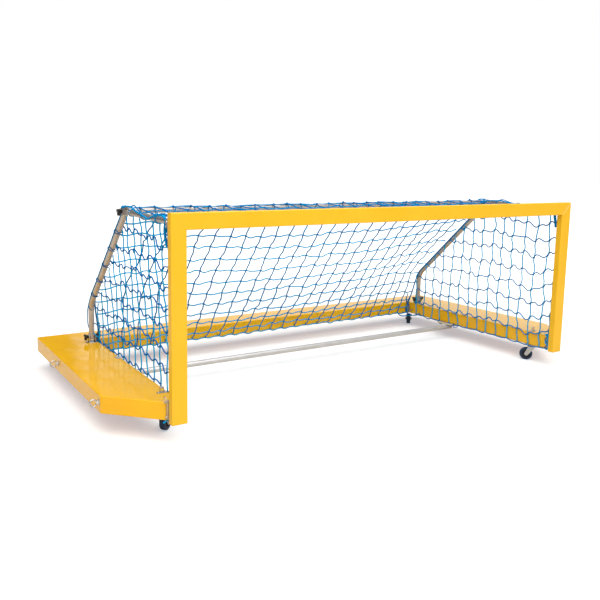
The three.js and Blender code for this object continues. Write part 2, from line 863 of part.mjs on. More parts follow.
// Where each caster stands, and the direction in which its wheel trails.
const frontCasterX = floatInner + frontCasterInset;
const rearCasterX = floatInner + rearCasterInset;
const frontCasterY = floatFront + frontCasterSetback;
const rearCasterY = floatRear - rearCasterSetback;
const casters = [
  { name: "front_left", x: -frontCasterX, y: frontCasterY, towards: [0.738, 0.674] },
  { name: "front_right", x: frontCasterX, y: frontCasterY, towards: [-0.61, 0.79] },
  { name: "rear_left", x: -rearCasterX, y: rearCasterY, towards: [0.5, -0.87] },
  { name: "rear_right", x: rearCasterX, y: rearCasterY, towards: [-0.686, -0.728] },
];
for (const { name, x, y, towards } of casters) {
  add(`${name}_caster_plate`, casterPlate(), steel, [x, y, casterHeight]);
  const swivel = new THREE.Group();
  swivel.position.set(x, y, casterHeight);
  swivel.rotation.z = Math.atan2(towards[1], towards[0]);
  inner.add(swivel);
  add(`${name}_caster_fork`, casterFork(), blackSteel, [0, 0, 0], swivel);
  const wheelPlace = [casterTrail, 0, -axleDrop];
  add(`${name}_wheel_hub`, wheelHub(), wheelPlastic, wheelPlace, swivel);
  add(`${name}_tyre`, tyre(), tyreRubber, wheelPlace, swivel);
}

// Pad eye: a plate and a bent rod that rises, turns over and comes down again.
function padEye() {
  const plate = rectangle(
    [-padEyeLength / 2, -padEyeWidth / 2],
    [padEyeLength / 2, padEyeWidth / 2],
    padEyeCorner,
  );
  const bowTop = clearance + padEyeThickness + padEyeStraight;
  const rise = new THREE.Vector2(0, 1);
  const foot = new THREE.Vector2(padEyeBow, clearance + padEyeThickness / 2);
  const stations = [{ point: foot, along: rise }];
  for (let i = 0; i <= padEyeSteps; i++) {
    const angle = (Math.PI * i) / padEyeSteps;
    const point = new THREE.Vector2(padEyeBow * Math.cos(angle), bowTop + padEyeBow * Math.sin(angle));
    stations.push({ point, along: new THREE.Vector2(-Math.sin(angle), Math.cos(angle)) });
  }
  stations.push({ point: new THREE.Vector2(-foot.x, foot.y), along: rise.clone().negate() });
  const bow = tubeAlong(stations, padEyeWire, padEyeWire, smallSides / 2);
  return formed([
    prism(plate, clearance, clearance + padEyeThickness),
    bow.rotateZ(-Math.PI / 2),
  ]);
}

const padEyePlace = [floatInner + padEyeInset, floatFront + padEyeSetback, floatTop];
addPair("pad_eye", padEye(), steel, padEyePlace);

// Ring bolt: a flange, a shank and a fixed ring that stands upright.
function ringBolt() {
  const ring = new THREE.TorusGeometry(ringRadius, ringWire, 5, 14);
  ring.rotateX(Math.PI / 2);
  ring.translate(ringStandoff + clearance, 0, 0);
  return formed([
    rod(ringFlangeRadius, clearance, clearance + ringFlangeThickness, alongX),
    rod(ringShankRadius, clearance, clearance + ringStandoff - ringRadius, alongX),
    ring,
  ]);
}

const ringZ = floatUnderside + ringHeight;
addPair("front_ring_bolt", ringBolt(), steel, [floatOuter, floatFront + frontRingSetback, ringZ]);
addPair("rear_ring_bolt", ringBolt(), steel, [floatOuter, floatFront + rearRingSetback, ringZ]);

// Stations across a net of given length: each strand's two edges, first to last.
function strandEdges(length, meshes) {
  const pitch = (length - strandWidth) / meshes;
  const edges = [];
  for (let i = 0; i <= meshes; i++) edges.push((i * pitch) / length, (i * pitch + strandWidth) / length);
  return edges;
}

// A net as one closed lattice. The place function takes shares across and along the net,
// and an offset through its thickness, and gives a point.
function lattice(acrossEdges, alongEdges, place) {
  const [columns, rows] = [acrossEdges.length, alongEdges.length];
  const positions = [];
  for (const offset of [-strandThickness / 2, strandThickness / 2]) {
    for (const v of alongEdges) {
      for (const u of acrossEdges) positions.push(...place(u, v, offset));
    }
  }
  const at = (i, j, upper) => upper * columns * rows + j * columns + i;
  const filled = (i, j) => {
    const inside = i >= 0 && j >= 0 && i < columns - 1 && j < rows - 1;
    return inside && (i % 2 === 0 || j % 2 === 0);
  };
  const faces = [];
  const quad = (a, b, c, d) => faces.push(a, b, c, a, c, d);
  for (let j = 0; j < rows - 1; j++) {
    for (let i = 0; i < columns - 1; i++) {
      if (!filled(i, j)) continue;
      quad(at(i, j, 1), at(i + 1, j, 1), at(i + 1, j + 1, 1), at(i, j + 1, 1));
      quad(at(i, j, 0), at(i, j + 1, 0), at(i + 1, j + 1, 0), at(i + 1, j, 0));
      if (!filled(i, j - 1)) quad(at(i, j, 0), at(i + 1, j, 0), at(i + 1, j, 1), at(i, j, 1));
      if (!filled(i, j + 1)) {
        quad(at(i + 1, j + 1, 0), at(i, j + 1, 0), at(i, j + 1, 1), at(i + 1, j + 1, 1));
      }
      if (!filled(i - 1, j)) quad(at(i, j + 1, 0), at(i, j, 0), at(i, j, 1), at(i, j + 1, 1));
      if (!filled(i + 1, j)) {
        quad(at(i + 1, j, 0), at(i + 1, j + 1, 0), at(i + 1, j + 1, 1), at(i + 1, j, 1));
      }
    }
  }
  const geometry = new THREE.BufferGeometry();
  geometry.setAttribute("position", new THREE.Float32BufferAttribute(positions, 3));
  geometry.setIndex(faces);
  return geometry;
}

// Roof net, between the crossbar and the hoop's top tube, level with the arms' tops.
const armLineZ = (y) => armPivot.y + (y - armPivot.x) * armSlope;
const roofHalf = sideX - legRadius - clearance;
const roofFront = barDepth + clearance;
const roofRear = hoopTube.x + roofOverlap;
const tubeRise = hoopTube.y - armLineZ(hoopTube.x) + hoopTubeRadius * Math.hypot(1, armSlope);
const roofLift = Math.max(armRadius + armStandoff * armSlope, tubeRise)
  + clearance + strandThickness / 2;
const roofNet = lattice(
  strandEdges(2 * roofHalf, meshesAcross),
  strandEdges(roofRear - roofFront, roofMeshes),
  (u, v, offset) => {
    const y = THREE.MathUtils.lerp(roofFront, roofRear, v);
    return [roofHalf * (2 * u - 1), y, armLineZ(y) + roofLift + offset];
  },
);
add("roof_net", roofNet, netCord);

// Rear net: stretched straight from the top tube to the beam's lower edge in the middle,
// and drawn back to the line of the legs at both sides.
const rearNetHalf = openingHalf;
const rearNetTop = hoopTube.clone()
  .addScaledVector(legNormal, -(hoopTubeRadius + clearance + strandThickness / 2));
const rearNetFoot = new THREE.Vector2(
  beamInner - clearance - strandThickness / 2,
  floatUnderside + rearNetHemRise,
);
const rearNetY = legPivot.x - rearNetBendInset;
const rearNetSide = [
  rearNetTop,
  new THREE.Vector2(rearNetY, legCorner.y + strandThickness),
  new THREE.Vector2(rearNetY, floatTop + rearNetShelf),
  rearNetFoot,
];
const rearNetNormal = rearNetFoot.clone().sub(rearNetTop).normalize();

// Where a line of points, from the top down, has a given height.
function yAt(points, z) {
  const below = points.findIndex((point) => point.y < z);
  const i = below < 0 ? points.length - 1 : Math.max(1, below);
  const [upper, lower] = [points[i - 1], points[i]];
  return THREE.MathUtils.mapLinear(z, upper.y, lower.y, upper.x, lower.x);
}

const rearNet = lattice(
  strandEdges(2 * rearNetHalf, meshesAcross),
  strandEdges(rearNetTop.distanceTo(rearNetFoot), rearMeshes),
  (u, v, offset) => {
    const middle = rearNetTop.clone().lerp(rearNetFoot, v);
    const reach = Math.abs(2 * u - 1);
    const share = THREE.MathUtils.smoothstep(reach, rearNetFlat, 1);
    const drawn = share * (yAt(rearNetSide, middle.y) - middle.x);
    return [
      rearNetHalf * (2 * u - 1),
      middle.x + drawn - rearNetNormal.y * offset,
      middle.y + rearNetNormal.x * offset,
    ];
  },
);
add("rear_net", rearNet, netCord);

// Side nets: upright against the wing's inner face, leaning out to the arm and the leg
// further up. The front one hangs from the arm and the leg, the rear one from the leg.
const legUnderside = (y) => corner.y + (y - corner.x) * legSlope - legRadius * Math.hypot(1, legSlope);
const armUnderside = (y) => armLineZ(y) - armRadius * Math.hypot(1, armSlope);
const sideNetInner = floatInner - clearance - strandThickness / 2;
const sideNetBottom = floatUnderside + netHemRise;
const sideNetLeanZ = floatTop + sideNetUpright;

function sideNet(front, rear, meshes, rowCount, topAt) {
  const height = topAt(front) - sideNetBottom;
  return lattice(
    strandEdges(rear - front, meshes),
    strandEdges(height, rowCount),
    (u, v, offset) => {
      const y = THREE.MathUtils.lerp(front, rear, u);
      const z = THREE.MathUtils.lerp(sideNetBottom, topAt(y), v);
      const share = Math.max(0, (z - sideNetLeanZ) / (corner.y - sideNetLeanZ));
      return [sideNetInner + sideNetLean * share + offset, y, z];
    },
  );
}

const sideNetFront = armPivot.x + armRadius + clearance;
const sideNetBreak = floatFront + sideNetSplit;
const frontTop = (y) => Math.min(armUnderside(y), legUnderside(y)) - clearance;
const rearTop = (y) => legUnderside(y) - bendMargin;
const frontSide = sideNet(
  sideNetFront,
  sideNetBreak - sideNetGap / 2,
  sideFrontMeshes,
  sideFrontRows,
  frontTop,
);
const rearSide = sideNet(
  sideNetBreak + sideNetGap / 2,
  legPivot.x - sideNetRearInset,
  sideRearMeshes,
  sideRearRows,
  rearTop,
);
addPair("side_net_front", frontSide, netCord, [0, 0, 0]);
addPair("side_net_rear", rearSide, netCord, [0, 0, 0]);

// The drawing's origin is at the frame's front face; the goal's is under its middle.
const goal = new THREE.Group();
inner.position.y = -floatRear / 2;
goal.add(inner);

export default goal;
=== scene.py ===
import bmesh
import bpy
import numpy as np
from mathutils import Matrix, Vector


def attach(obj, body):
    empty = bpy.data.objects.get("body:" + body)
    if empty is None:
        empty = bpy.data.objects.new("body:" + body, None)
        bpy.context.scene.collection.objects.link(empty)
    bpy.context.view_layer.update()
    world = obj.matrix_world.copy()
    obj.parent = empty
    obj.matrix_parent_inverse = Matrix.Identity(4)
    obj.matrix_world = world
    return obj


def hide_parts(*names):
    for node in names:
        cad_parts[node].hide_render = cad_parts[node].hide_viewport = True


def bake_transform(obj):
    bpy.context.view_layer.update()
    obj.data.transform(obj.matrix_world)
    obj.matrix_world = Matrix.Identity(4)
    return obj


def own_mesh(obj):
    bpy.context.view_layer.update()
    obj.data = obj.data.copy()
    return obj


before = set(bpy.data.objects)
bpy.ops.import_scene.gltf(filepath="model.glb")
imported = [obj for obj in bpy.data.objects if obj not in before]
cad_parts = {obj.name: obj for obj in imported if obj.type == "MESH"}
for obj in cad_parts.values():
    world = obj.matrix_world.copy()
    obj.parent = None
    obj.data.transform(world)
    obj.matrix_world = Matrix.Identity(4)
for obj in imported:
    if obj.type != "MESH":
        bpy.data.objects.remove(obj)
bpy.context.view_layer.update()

# Camera, floor and studio light.
# The goal is seen from its front left, a little above the crossbar, on a white floor
# before a white backdrop, with one large soft lamp from above the camera.
LENS, SENSOR, SHIFT = 41.1, 36.0, (0.0825, -0.0565)
EYE_PLACE, SIGHT = (-2.4718, -3.4188, 1.2199), 200.0
YAW, PITCH, ROLL = np.radians([30.0, 8.1, -0.5])
WHITE = (1.0, 1.0, 1.0, 1.0)
# Painted light: the floor is warm in colour and glows cool for the camera near the goal, so that it
# is white where lit and its shadows are lifted and cleared of the float's orange.
FLOOR_COLOUR, FLOOR_GLOW = (0.74, 0.69, 0.62, 1.0), (0.31, 0.36, 0.43, 1.0)
FLOOR_HALF, WHITE_FROM, WHITE_AT = 60.0, 1.8, 5.0
BACKDROP, ROOM, DARK = 0.88, 0.50, 0.06
LAMP_PLACE, LAMP_TARGET = (-1.1, -2.5, 6.5), (0.0, 0.0, 0.4)
LAMP_POWER, LAMP_SIZE = 1050.0, 11.0


def linked(name, data):
    """A new object in the scene."""
    made = bpy.data.objects.new(name, data)
    bpy.context.scene.collection.objects.link(made)
    return made


def fed(tree, made, inputs):
    """A node with its inputs set, or joined to other sockets."""
    for key, value in dict(inputs).items():
        if isinstance(value, bpy.types.NodeSocket):
            tree.links.new(value, made.inputs[key])
        else:
            made.inputs[key].default_value = value
    return made


def node(tree, kind, inputs=(), **settings):
    """A new shader node with its settings and its inputs."""
    made = tree.nodes.new(kind)
    for key, value in settings.items():
        setattr(made, key, value)
    return fed(tree, made, inputs)


def maths(tree, operation, *terms, **settings):
    """The result of a sum on its terms."""
    made = node(tree, "ShaderNodeMath", enumerate(terms), operation=operation, **settings)
    return made.outputs[0]


def mixed(tree, factor, a, b):
    """A colour between two colours."""
    made = node(tree, "ShaderNodeMix", {"Factor": factor, "A": a, "B": b}, data_type="RGBA")
    return made.outputs[2]


def graded(tree, value, low, high, start=0.0, end=1.0):
    """A smooth step from start to end as value goes from low to high."""
    return node(tree, "ShaderNodeMapRange", {
        "Value": value, "From Min": low, "From Max": high, "To Min": start, "To Max": end},
        interpolation_type="SMOOTHSTEP").outputs["Result"]


forward = np.array([np.sin(YAW) * np.cos(PITCH), np.cos(YAW) * np.cos(PITCH), -np.sin(PITCH)])
level = np.array([np.cos(YAW), -np.sin(YAW), 0.0])
rightward = level * np.cos(ROLL) + np.cross(forward, level) * np.sin(ROLL)
turn = np.eye(4)
turn[:3] = np.stack([rightward, -np.cross(forward, rightward), -forward, EYE_PLACE], 1)
eye = linked("eye", bpy.data.cameras.new("eye"))
eye.data.lens, eye.data.sensor_width, eye.data.clip_end = LENS, SENSOR, SIGHT
eye.data.shift_x, eye.data.shift_y = SHIFT
eye.matrix_world = Matrix(turn.tolist())
bpy.context.scene.camera = eye
bpy.context.scene.view_settings.view_transform = "Standard"

floor = linked("floor", bpy.data.meshes.new("floor"))
floor.data.from_pydata([(x * FLOOR_HALF, y * FLOOR_HALF, 0.0)
                        for x, y in ((-1, -1), (1, -1), (1, 1), (-1, 1))], [], [(0, 1, 2, 3)])
floor_paint = bpy.data.materials.new("studio_floor")
floor_paint.use_nodes = True
paint = floor_paint.node_tree
distance = node(paint, "ShaderNodeVectorMath", {
    0: node(paint, "ShaderNodeTexCoord").outputs["Object"]}, operation="LENGTH").outputs["Value"]
# Painted light: the floor's glow, seen by the camera only, is cool near the goal to lift its
# shadows, and turns plain white from WHITE_FROM to WHITE_AT.
glow = mixed(paint, graded(paint, distance, WHITE_FROM, WHITE_AT), FLOOR_GLOW, WHITE)
fed(paint, paint.nodes["Principled BSDF"], {
    "Base Color": FLOOR_COLOUR, "Roughness": 1.0, "Specular IOR Level": 0.0,
    "Emission Color": glow,
    "Emission Strength": node(paint, "ShaderNodeLightPath").outputs["Is Camera Ray"]})
floor.data.materials.append(floor_paint)

# The surround is a dim room with a bright band low down behind the goal, where the backdrop
# stands. The camera sees plain white above the floor.
surround = bpy.data.worlds.new("studio_surround")
surround.use_nodes = True
sky = surround.node_tree
facing = node(sky, "ShaderNodeSeparateXYZ", {
    0: node(sky, "ShaderNodeTexCoord").outputs["Generated"]}).outputs
band = maths(sky, "MULTIPLY", graded(sky, facing["Y"], -0.1, 0.5, 0.0, BACKDROP - DARK),
             graded(sky, facing["Z"], 0.22, 0.33, 1.0, 0.3))
band = maths(sky, "MULTIPLY", graded(sky, facing["X"], 0.245, 0.275), band)
room = maths(sky, "ADD", band, graded(sky, facing["Y"], -0.3, 0.3, ROOM, DARK))
seen = maths(sky, "MAXIMUM", room, node(sky, "ShaderNodeLightPath").outputs["Is Camera Ray"])
fed(sky, sky.nodes["Background"], {"Color": WHITE, "Strength": seen})
bpy.context.scene.world = surround

lamp = linked("overhead", bpy.data.lights.new("overhead", "AREA"))
lamp.data.energy, lamp.data.size = LAMP_POWER, LAMP_SIZE
lamp.location = LAMP_PLACE
lamp.rotation_mode = "QUATERNION"
lamp.rotation_quaternion = (Vector(LAMP_TARGET) - Vector(LAMP_PLACE)).to_track_quat("-Z", "Y")

# Float.
# One rotomoulded polyethylene shell in a U, filled with foam: two wings with chamfered
# fronts and a beam across the rear. Its skin is glossy, a little uneven, and yellow.
MM = 0.001
FRONT_TO_MIDDLE = 758.5
SIDES = (("left", -1), ("right", 1))
UPRIGHT = ((1, 0, 0), (0, 1, 0), (0, 0, 1))
ACROSS = ((0, 1, 0), (0, 0, 1), (1, 0, 0))
BACKWARD = ((1, 0, 0), (0, 0, 1), (0, 1, 0))
FLOAT_LOW, FLOAT_HIGH = 106.3, 190.5
WING_INNER, WING_OUTER = 1265.0, 1560.0
FLOAT_FRONT, FLOAT_REAR, BEAM_INNER = 57.0, 1517.0, 1312.0
FRONT_FLAT, CHAMFER = 68.0, 221.0
FLOAT_EDGE, FRONT_CORNER, REAR_CORNER = 3.5, 10.0, 14.0
SOCKETS = {1: "NodeSocketFloat", 3: "NodeSocketVector", 4: "NodeSocketColor"}


def rounded(corners, steps=6, lead=0.0):
    """A closed outline from (across, up, radius) corners, anticlockwise. Each corner is an
    arc: its start, less the outward normal there and plus the turned one, times the radius.
    A lead adds a point that far before and after it. Gives the points and their normals."""
    points, normals = [], []
    place = np.array([c[:2] for c in corners], float)
    before, after = place - np.roll(place, 1, 0), np.roll(place, -1, 0) - place
    before /= np.linalg.norm(before, axis=1)[:, None]
    after /= np.linalg.norm(after, axis=1)[:, None]
    for p, d, e, radius in zip(place, before, after, (c[2] for c in corners)):
        bend = np.arctan2(d[0] * e[1] - d[1] * e[0], d @ e)
        a = np.linspace(0.0, bend, steps + 1)
        along = np.stack([d[0] * np.cos(a) - d[1] * np.sin(a),
                          d[0] * np.sin(a) + d[1] * np.cos(a)], 1)
        out = np.stack([along[:, 1], -along[:, 0]], 1)
        start = p - d * radius * np.tan(abs(bend) / 2)
        arc = start + np.sign(bend) * radius * (out - out[0])
        if lead:
            arc = np.concatenate([[arc[0] - d * lead], arc, [arc[-1] + e * lead]])
            out = np.concatenate([out[:1], out, out[-1:]])
        points.append(arc)
        normals.append(out)
    return np.concatenate(points), np.concatenate(normals)


def oblong(low, high, radius, steps=6, lead=0.0):
    """A rounded rectangle between two (across, up) corners."""
    (a, b), (c, d) = low, high
    return rounded([(a, b, radius), (c, b, radius), (c, d, radius), (a, d, radius)], steps, lead)


def slab(outline, low, high, edge, steps=4, lead=1.0):
    """Rings of a flat piece: the outline, moved in by edge * (1 - sin a) and up by
    edge * (1 - cos a) as a goes from 0 to a quarter turn, and the same again at the top. A
    ring a lead inside each edge keeps the faces there flat."""
    points, normals = outline
    a = np.linspace(0.0, np.pi / 2, steps + 1)
    lead = min(lead, (high - low) / 2 - edge - 0.01)
    inset = np.r_[edge + lead, edge * (1 - np.sin(a)), 0.0]
    rise = np.r_[0.0, edge * (1 - np.cos(a)), edge + lead]
    inset, height = np.r_[inset, inset[::-1]], np.r_[low + rise, high - rise[::-1]]
    flat = points[None] - normals[None] * inset[:, None, None]
    return np.concatenate([flat, np.broadcast_to(height[:, None, None], flat.shape[:2] + (1,))], 2)


def stand(rings, origin=(0, 0, 0), axes=UPRIGHT):
    """Rings drawn in (across, up, out) set at an origin along three directions."""
    return np.asarray(origin, float) + np.asarray(rings, float) @ np.asarray(axes, float)


def skin(rings, loop=False):
    """A closed skin over rings of points: quads from each ring to the next, a flat face on
    each end or a loop back to the start, turned outwards by the sign of the volume."""
    rings = np.asarray(rings, float)
    count, around = rings.shape[:2]
    index = np.arange(count * around).reshape(count, around)
    here, there = (index, np.roll(index, -1, 0)) if loop else (index[:-1], index[1:])
    quads = np.stack([here, np.roll(here, -1, 1), np.roll(there, -1, 1), there], -1).reshape(-1, 4)
    points = rings.reshape(-1, 3)
    a, b, c, d = (points[quads[:, i]] - points.mean(0) for i in range(4))
    volume = np.einsum("ij,ij->", a, np.cross(b, c)) + np.einsum("ij,ij->", a, np.cross(c, d))
    faces = quads.tolist() + ([] if loop else [index[0][::-1].tolist(), index[-1].tolist()])
    if volume < 0:
        faces = [face[::-1] for face in faces]
    return points, faces


def sheet(outline, low, high, place, axes=UPRIGHT, edge=0.7, steps=2, lead=0.5):
    """The closed skin of a flat piece, set in place."""
    return skin(stand(slab(outline, low, high, edge, steps, lead), place, axes))


def at(x, y, z):
    """Points from their three coordinates, each of them one number or many."""
    return np.stack(np.broadcast_arrays(x, y, z), -1)


def spun(profile, place, axes=UPRIGHT, sides=32, loop=False):
    """The closed skin of a turned piece about its third axis: each (radius, height) of the
    profile carried round a circle."""
    radius, height = np.asarray(profile, float).T[..., None]
    a = np.linspace(0.0, 2 * np.pi, sides, endpoint=False)
    return skin(stand(at(radius * np.cos(a), radius * np.sin(a), height), place, axes), loop)


def placed(name, points, faces, look, smooth):
    """One piece, from drawing millimetres set in the frame's metres, with edges sharper than
    the smooth angle left crisp."""
    mesh = bpy.data.meshes.new(name)
    mesh.from_pydata(((points - (0.0, FRONT_TO_MIDDLE, 0.0)) * MM).tolist(), [], faces)
    mesh.materials.append(look)
    mesh.shade_smooth()
    mesh.set_sharp_from_angle(angle=np.radians(smooth))
    return linked(name, mesh)


def finished(name, skins, look, smooth=40.0):
    """One piece from closed skins."""
    points, faces, start = [], [], 0
    for p, f in skins:
        points.append(p)
        faces += [[i + start for i in face] for face in f]
        start += len(p)
    return placed(name, np.concatenate(points), faces, look, smooth)


def carried(piece, body, slot, *nodes):
    """The piece rides a body and stands for CAD nodes; the slot is not used."""
    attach(piece, body)
    if nodes:
        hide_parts(*nodes)


def noise(tree, place, scale, detail):
    """Smooth noise at a place."""
    return node(tree, "ShaderNodeTexNoise", {
        "Vector": place, "Scale": scale, "Detail": detail}).outputs["Fac"]


def bump(tree, height, distance, under=None):
    """A surface lifted by a height, over another one or none."""
    made = node(tree, "ShaderNodeBump", {"Strength": 1.0, "Distance": distance, "Height": height})
    return (made if under is None else fed(tree, made, {"Normal": under})).outputs["Normal"]


def effect(name, inputs):
    """A shader node group with named inputs, each of the kind that its value's size tells,
    and its three outputs. Gives the group and its inputs."""
    group = bpy.data.node_groups.new(name, "ShaderNodeTree")
    for key, value in inputs.items():
        group.interface.new_socket(
            key, in_out="INPUT", socket_type=SOCKETS[np.size(value)]).default_value = value
    for key, size in (("Colour", 4), ("Roughness", 1), ("Normal", 3)):
        group.interface.new_socket(key, in_out="OUTPUT", socket_type=SOCKETS[size])
    return group, node(group, "NodeGroupInput").outputs


def give(group, colour, roughness, normal):
    """What a node group puts out."""
    node(group, "NodeGroupOutput", {"Colour": colour, "Roughness": roughness, "Normal": normal})


def finish(name, group, plain, **values):
    """A new material: a node group with its own values gives the shader its colour,
    roughness and normal, and plain values are set on the shader."""
    made = bpy.data.materials.new(name)
    made.use_nodes = True
    tree = made.node_tree
    values = {key.replace("_", " ").title(): value for key, value in values.items()}
    given = node(tree, "ShaderNodeGroup", values, node_tree=group).outputs
    fed(tree, tree.nodes["Principled BSDF"], {
        **plain, "Base Color": given["Colour"], "Roughness": given["Roughness"],
        "Normal": given["Normal"]})
    return made


# Uneven skin: broad patches shift the tone and the gloss, and two scales of swelling
# lift the surface, as on moulded, coated and drawn surfaces alike.
uneven, given = effect("uneven_skin", {
    "Colour": (0.8, 0.8, 0.8, 1), "Patch Colour": (0.7, 0.7, 0.7, 1), "Patch Scale": 6.0,
    "Roughness": 0.4, "Roughness Spread": 0.1, "Wave Scale": 12.0, "Wave Height": 0.0005,
    "Grain Scale": 900.0, "Grain Height": 0.00002})
place = node(uneven, "ShaderNodeTexCoord").outputs["Object"]
patches = noise(uneven, place, given["Patch Scale"], 3.0)
strength = node(uneven, "ShaderNodeMapRange", {
    "Value": patches, "From Min": 0.35, "From Max": 0.7}).outputs["Result"]
swell = bump(uneven, noise(uneven, place, given["Wave Scale"], 1.0), given["Wave Height"])
give(uneven, mixed(uneven, strength, given["Colour"], given["Patch Colour"]),
     maths(uneven, "MULTIPLY_ADD", patches, given["Roughness Spread"], given["Roughness"]),
     bump(uneven, noise(uneven, place, given["Grain Scale"], 2.0), given["Grain Height"], swell))

float_plastic = finish(
    "float_plastic", uneven, {"Specular IOR Level": 0.34},
    colour=(0.88, 0.47, 0.006, 1), patch_colour=(0.82, 0.42, 0.008, 1), patch_scale=2.5,
    roughness=0.03, roughness_spread=0.06, wave_scale=7.0, wave_height=0.0025,
    grain_scale=260.0, grain_height=0.00004)

right_front = [(WING_INNER, FLOAT_FRONT, FRONT_CORNER),
               (WING_INNER + FRONT_FLAT, FLOAT_FRONT, FRONT_CORNER),
               (WING_OUTER, FLOAT_FRONT + CHAMFER, FRONT_CORNER),
               (WING_OUTER, FLOAT_REAR, REAR_CORNER)]
float_outline = rounded([
    *right_front, *[(-x, y, r) for x, y, r in right_front[::-1]],
    (-WING_INNER, BEAM_INNER, FRONT_CORNER), (WING_INNER, BEAM_INNER, FRONT_CORNER)], 8, 2.0)
carried(finished("float", [sheet(float_outline, FLOAT_LOW, FLOAT_HIGH, (0, 0, 0), UPRIGHT,
                                 FLOAT_EDGE, 5, 2.0)], float_plastic),
        "float", "float_plastic", "float_shell")

# Stabiliser.
# A drawn aluminium tube under the float, with rounded ends, that keeps the wings apart. A
# moulded plate holds it under each wing, bolted through to a small steel clamp plate on top.
STABILISER_Y, STABILISER_Z = 880.0, 83.2
STABILISER_RADIUS, STABILISER_HALF = 16.5, 1290.0
HOLDER_TOP, HOLDER_THICK, BOLT_BACK = 106.0, 6.0, (-30.0, 72.0)
CLAMP_SIZE, CLAMP_IN, CLAMP_AHEAD = (23.0, 44.0), 4.0, 57.0

# Drawn metal: fine lines along the piece, in its roughness and its relief.
drawn, given = effect("drawn_lines", {
    "Lines": 500.0, "Stretch": (0.02, 1.0, 1.0), "Depth": 0.00001, "Roughness": 0.35,
    "Roughness Spread": 0.15, "Colour": (0.6, 0.6, 0.6, 1), "Stain": (0.5, 0.5, 0.5, 1)})
place = node(drawn, "ShaderNodeTexCoord").outputs["Object"]
stretched = node(drawn, "ShaderNodeVectorMath", {0: place, 1: given["Stretch"]},
                 operation="MULTIPLY").outputs[0]
lines = noise(drawn, stretched, given["Lines"], 3.0)
give(drawn, mixed(drawn, noise(drawn, place, 14.0, 4.0), given["Colour"], given["Stain"]),
     maths(drawn, "MULTIPLY_ADD", lines, given["Roughness Spread"], given["Roughness"]),
     bump(drawn, lines, given["Depth"]))

aluminium_across = finish("aluminium_across", drawn, {"Metallic": 0.5},
                          colour=(0.66, 0.65, 0.64, 1), stain=(0.52, 0.51, 0.50, 1),
                          stretch=(0.02, 1.0, 1.0), roughness=0.3)
plate_plastic = finish("plate_plastic", uneven, {},
                       colour=(0.60, 0.51, 0.36, 1), patch_colour=(0.52, 0.44, 0.30, 1),
                       roughness=0.45, wave_height=0.0004)
stainless = finish("stainless", drawn, {"Metallic": 1.0},
                   colour=(0.66, 0.65, 0.63, 1), stain=(0.50, 0.48, 0.46, 1),
                   stretch=(1.0, 1.0, 0.08), lines=260.0, roughness=0.2, roughness_spread=0.2)

a = np.linspace(0.0, np.pi / 2, 9)
end = np.stack([STABILISER_RADIUS * np.sin(a),
                STABILISER_RADIUS * (1 - np.cos(a)) - STABILISER_HALF], 1)
end[0, 0] = 0.6
carried(finished("stabiliser", [spun(np.concatenate([end, (end * (1, -1))[::-1]]),
                                     (0, STABILISER_Y, STABILISER_Z), ACROSS)], aluminium_across),
        "float", "tube_aluminium", "stabiliser_tube")


def outward(sign):
    """The directions of a round piece on one side, whose own axis points away from it."""
    return (0, 1, 0), (0, 0, 1), (sign, 0, 0)


def hex_head(place, axes, across_flats, height):
    """A hexagon head: a six-sided slab, its corners at across_flats / sqrt(3) from the
    middle, with a small edge."""
    a = np.arange(6) * np.pi / 3
    corners = np.stack([np.cos(a), np.sin(a)], 1) * across_flats / np.sqrt(3)
    return sheet(rounded([(x, y, 0.6) for x, y in corners], 2), 0.0, height, place, axes, lead=0.4)


for side, sign in SIDES:
    ways, down = (((sign, 0, 0), (0, 1, 0), (0, 0, way)) for way in (1, -1))
    carried(finished(f"{side}_under_plate", [
        sheet(oblong((-39, -42), (45, 92), 20, 8), -HOLDER_THICK, 0.0,
              (sign * WING_INNER, STABILISER_Y, HOLDER_TOP), ways, 1.2, 3, 1.0),
        *[spun([(9, 0), (9, 5.0), (7.5, 6.0), (3, 6.3)],
               (sign * (WING_INNER + 25), STABILISER_Y + y, HOLDER_TOP - HOLDER_THICK), down, 24)
          for y in BOLT_BACK],
    ], plate_plastic), "float", "plate_plastic", f"{side}_stabiliser_plate")
    # Painted reflection: the steel clamp plate wears the pale, half-metallic aluminium finish, so
    # that it shows light, as a bright reflection would.
    carried(finished(f"{side}_clamp_plate", [
        sheet(oblong((0, 0), CLAMP_SIZE, 4, 5), 0.3, 3.3,
              (sign * (WING_INNER + CLAMP_IN), STABILISER_Y - CLAMP_AHEAD, FLOAT_HIGH), ways, 0.6),
        *[hex_head((sign * (WING_INNER + CLAMP_IN + CLAMP_SIZE[0] / 2),
                    STABILISER_Y - CLAMP_AHEAD + y, FLOAT_HIGH + 3.3), ways, 9, 4)
          for y in (10, 34)],
    ], aluminium_across), "float", "stainless", f"{side}_clamp_plate")

# Casters.
# Four swivel casters screwed up into the float: a pressed steel top plate with its ball
# race, a zinc plated fork, and a moulded wheel with a dark blue rubber tread on an axle.
WHEEL_DROP, TRAIL, TYRE_RADIUS = 66.0, 35.0, 40.0
SHEET_STEEL, PLATE_HALF, SCREW_PLACES = 3.0, (38.0, 30.0), (29.0, 21.0)
CASTERS = {
    "front_left": (-1296, 186, 0.738, 0.674), "front_right": (1296, 186, -0.61, 0.79),
    "rear_left": (-1352, 1400, 0.5, -0.87), "rear_right": (1352, 1400, -0.686, -0.728)}
RACE = [(15, -12), (20, -11.6), (22, -9.5), (22, -6), (19, -4), (15.5, -3)]
KINGPIN = [(6.5, -19.6), (9, -18.9), (9, -15.6), (5, -15.6), (5, -11)]
AXLE = [(4, -26), (5, -25.2), (5, 25.2), (4, 26)]
HUB = [(5.4, -17), (10, -17), (11, -16), (11.6, -7.4), (13, -6.4), (22, -6.6), (24.4, -8),
       (25, -13.4), (25.6, -14), (30, -14)]
TREAD = [(30.2, -14), (33, -15), (36, -15), (38.6, -13.4), (39.7, -10), (TYRE_RADIUS, -5)]

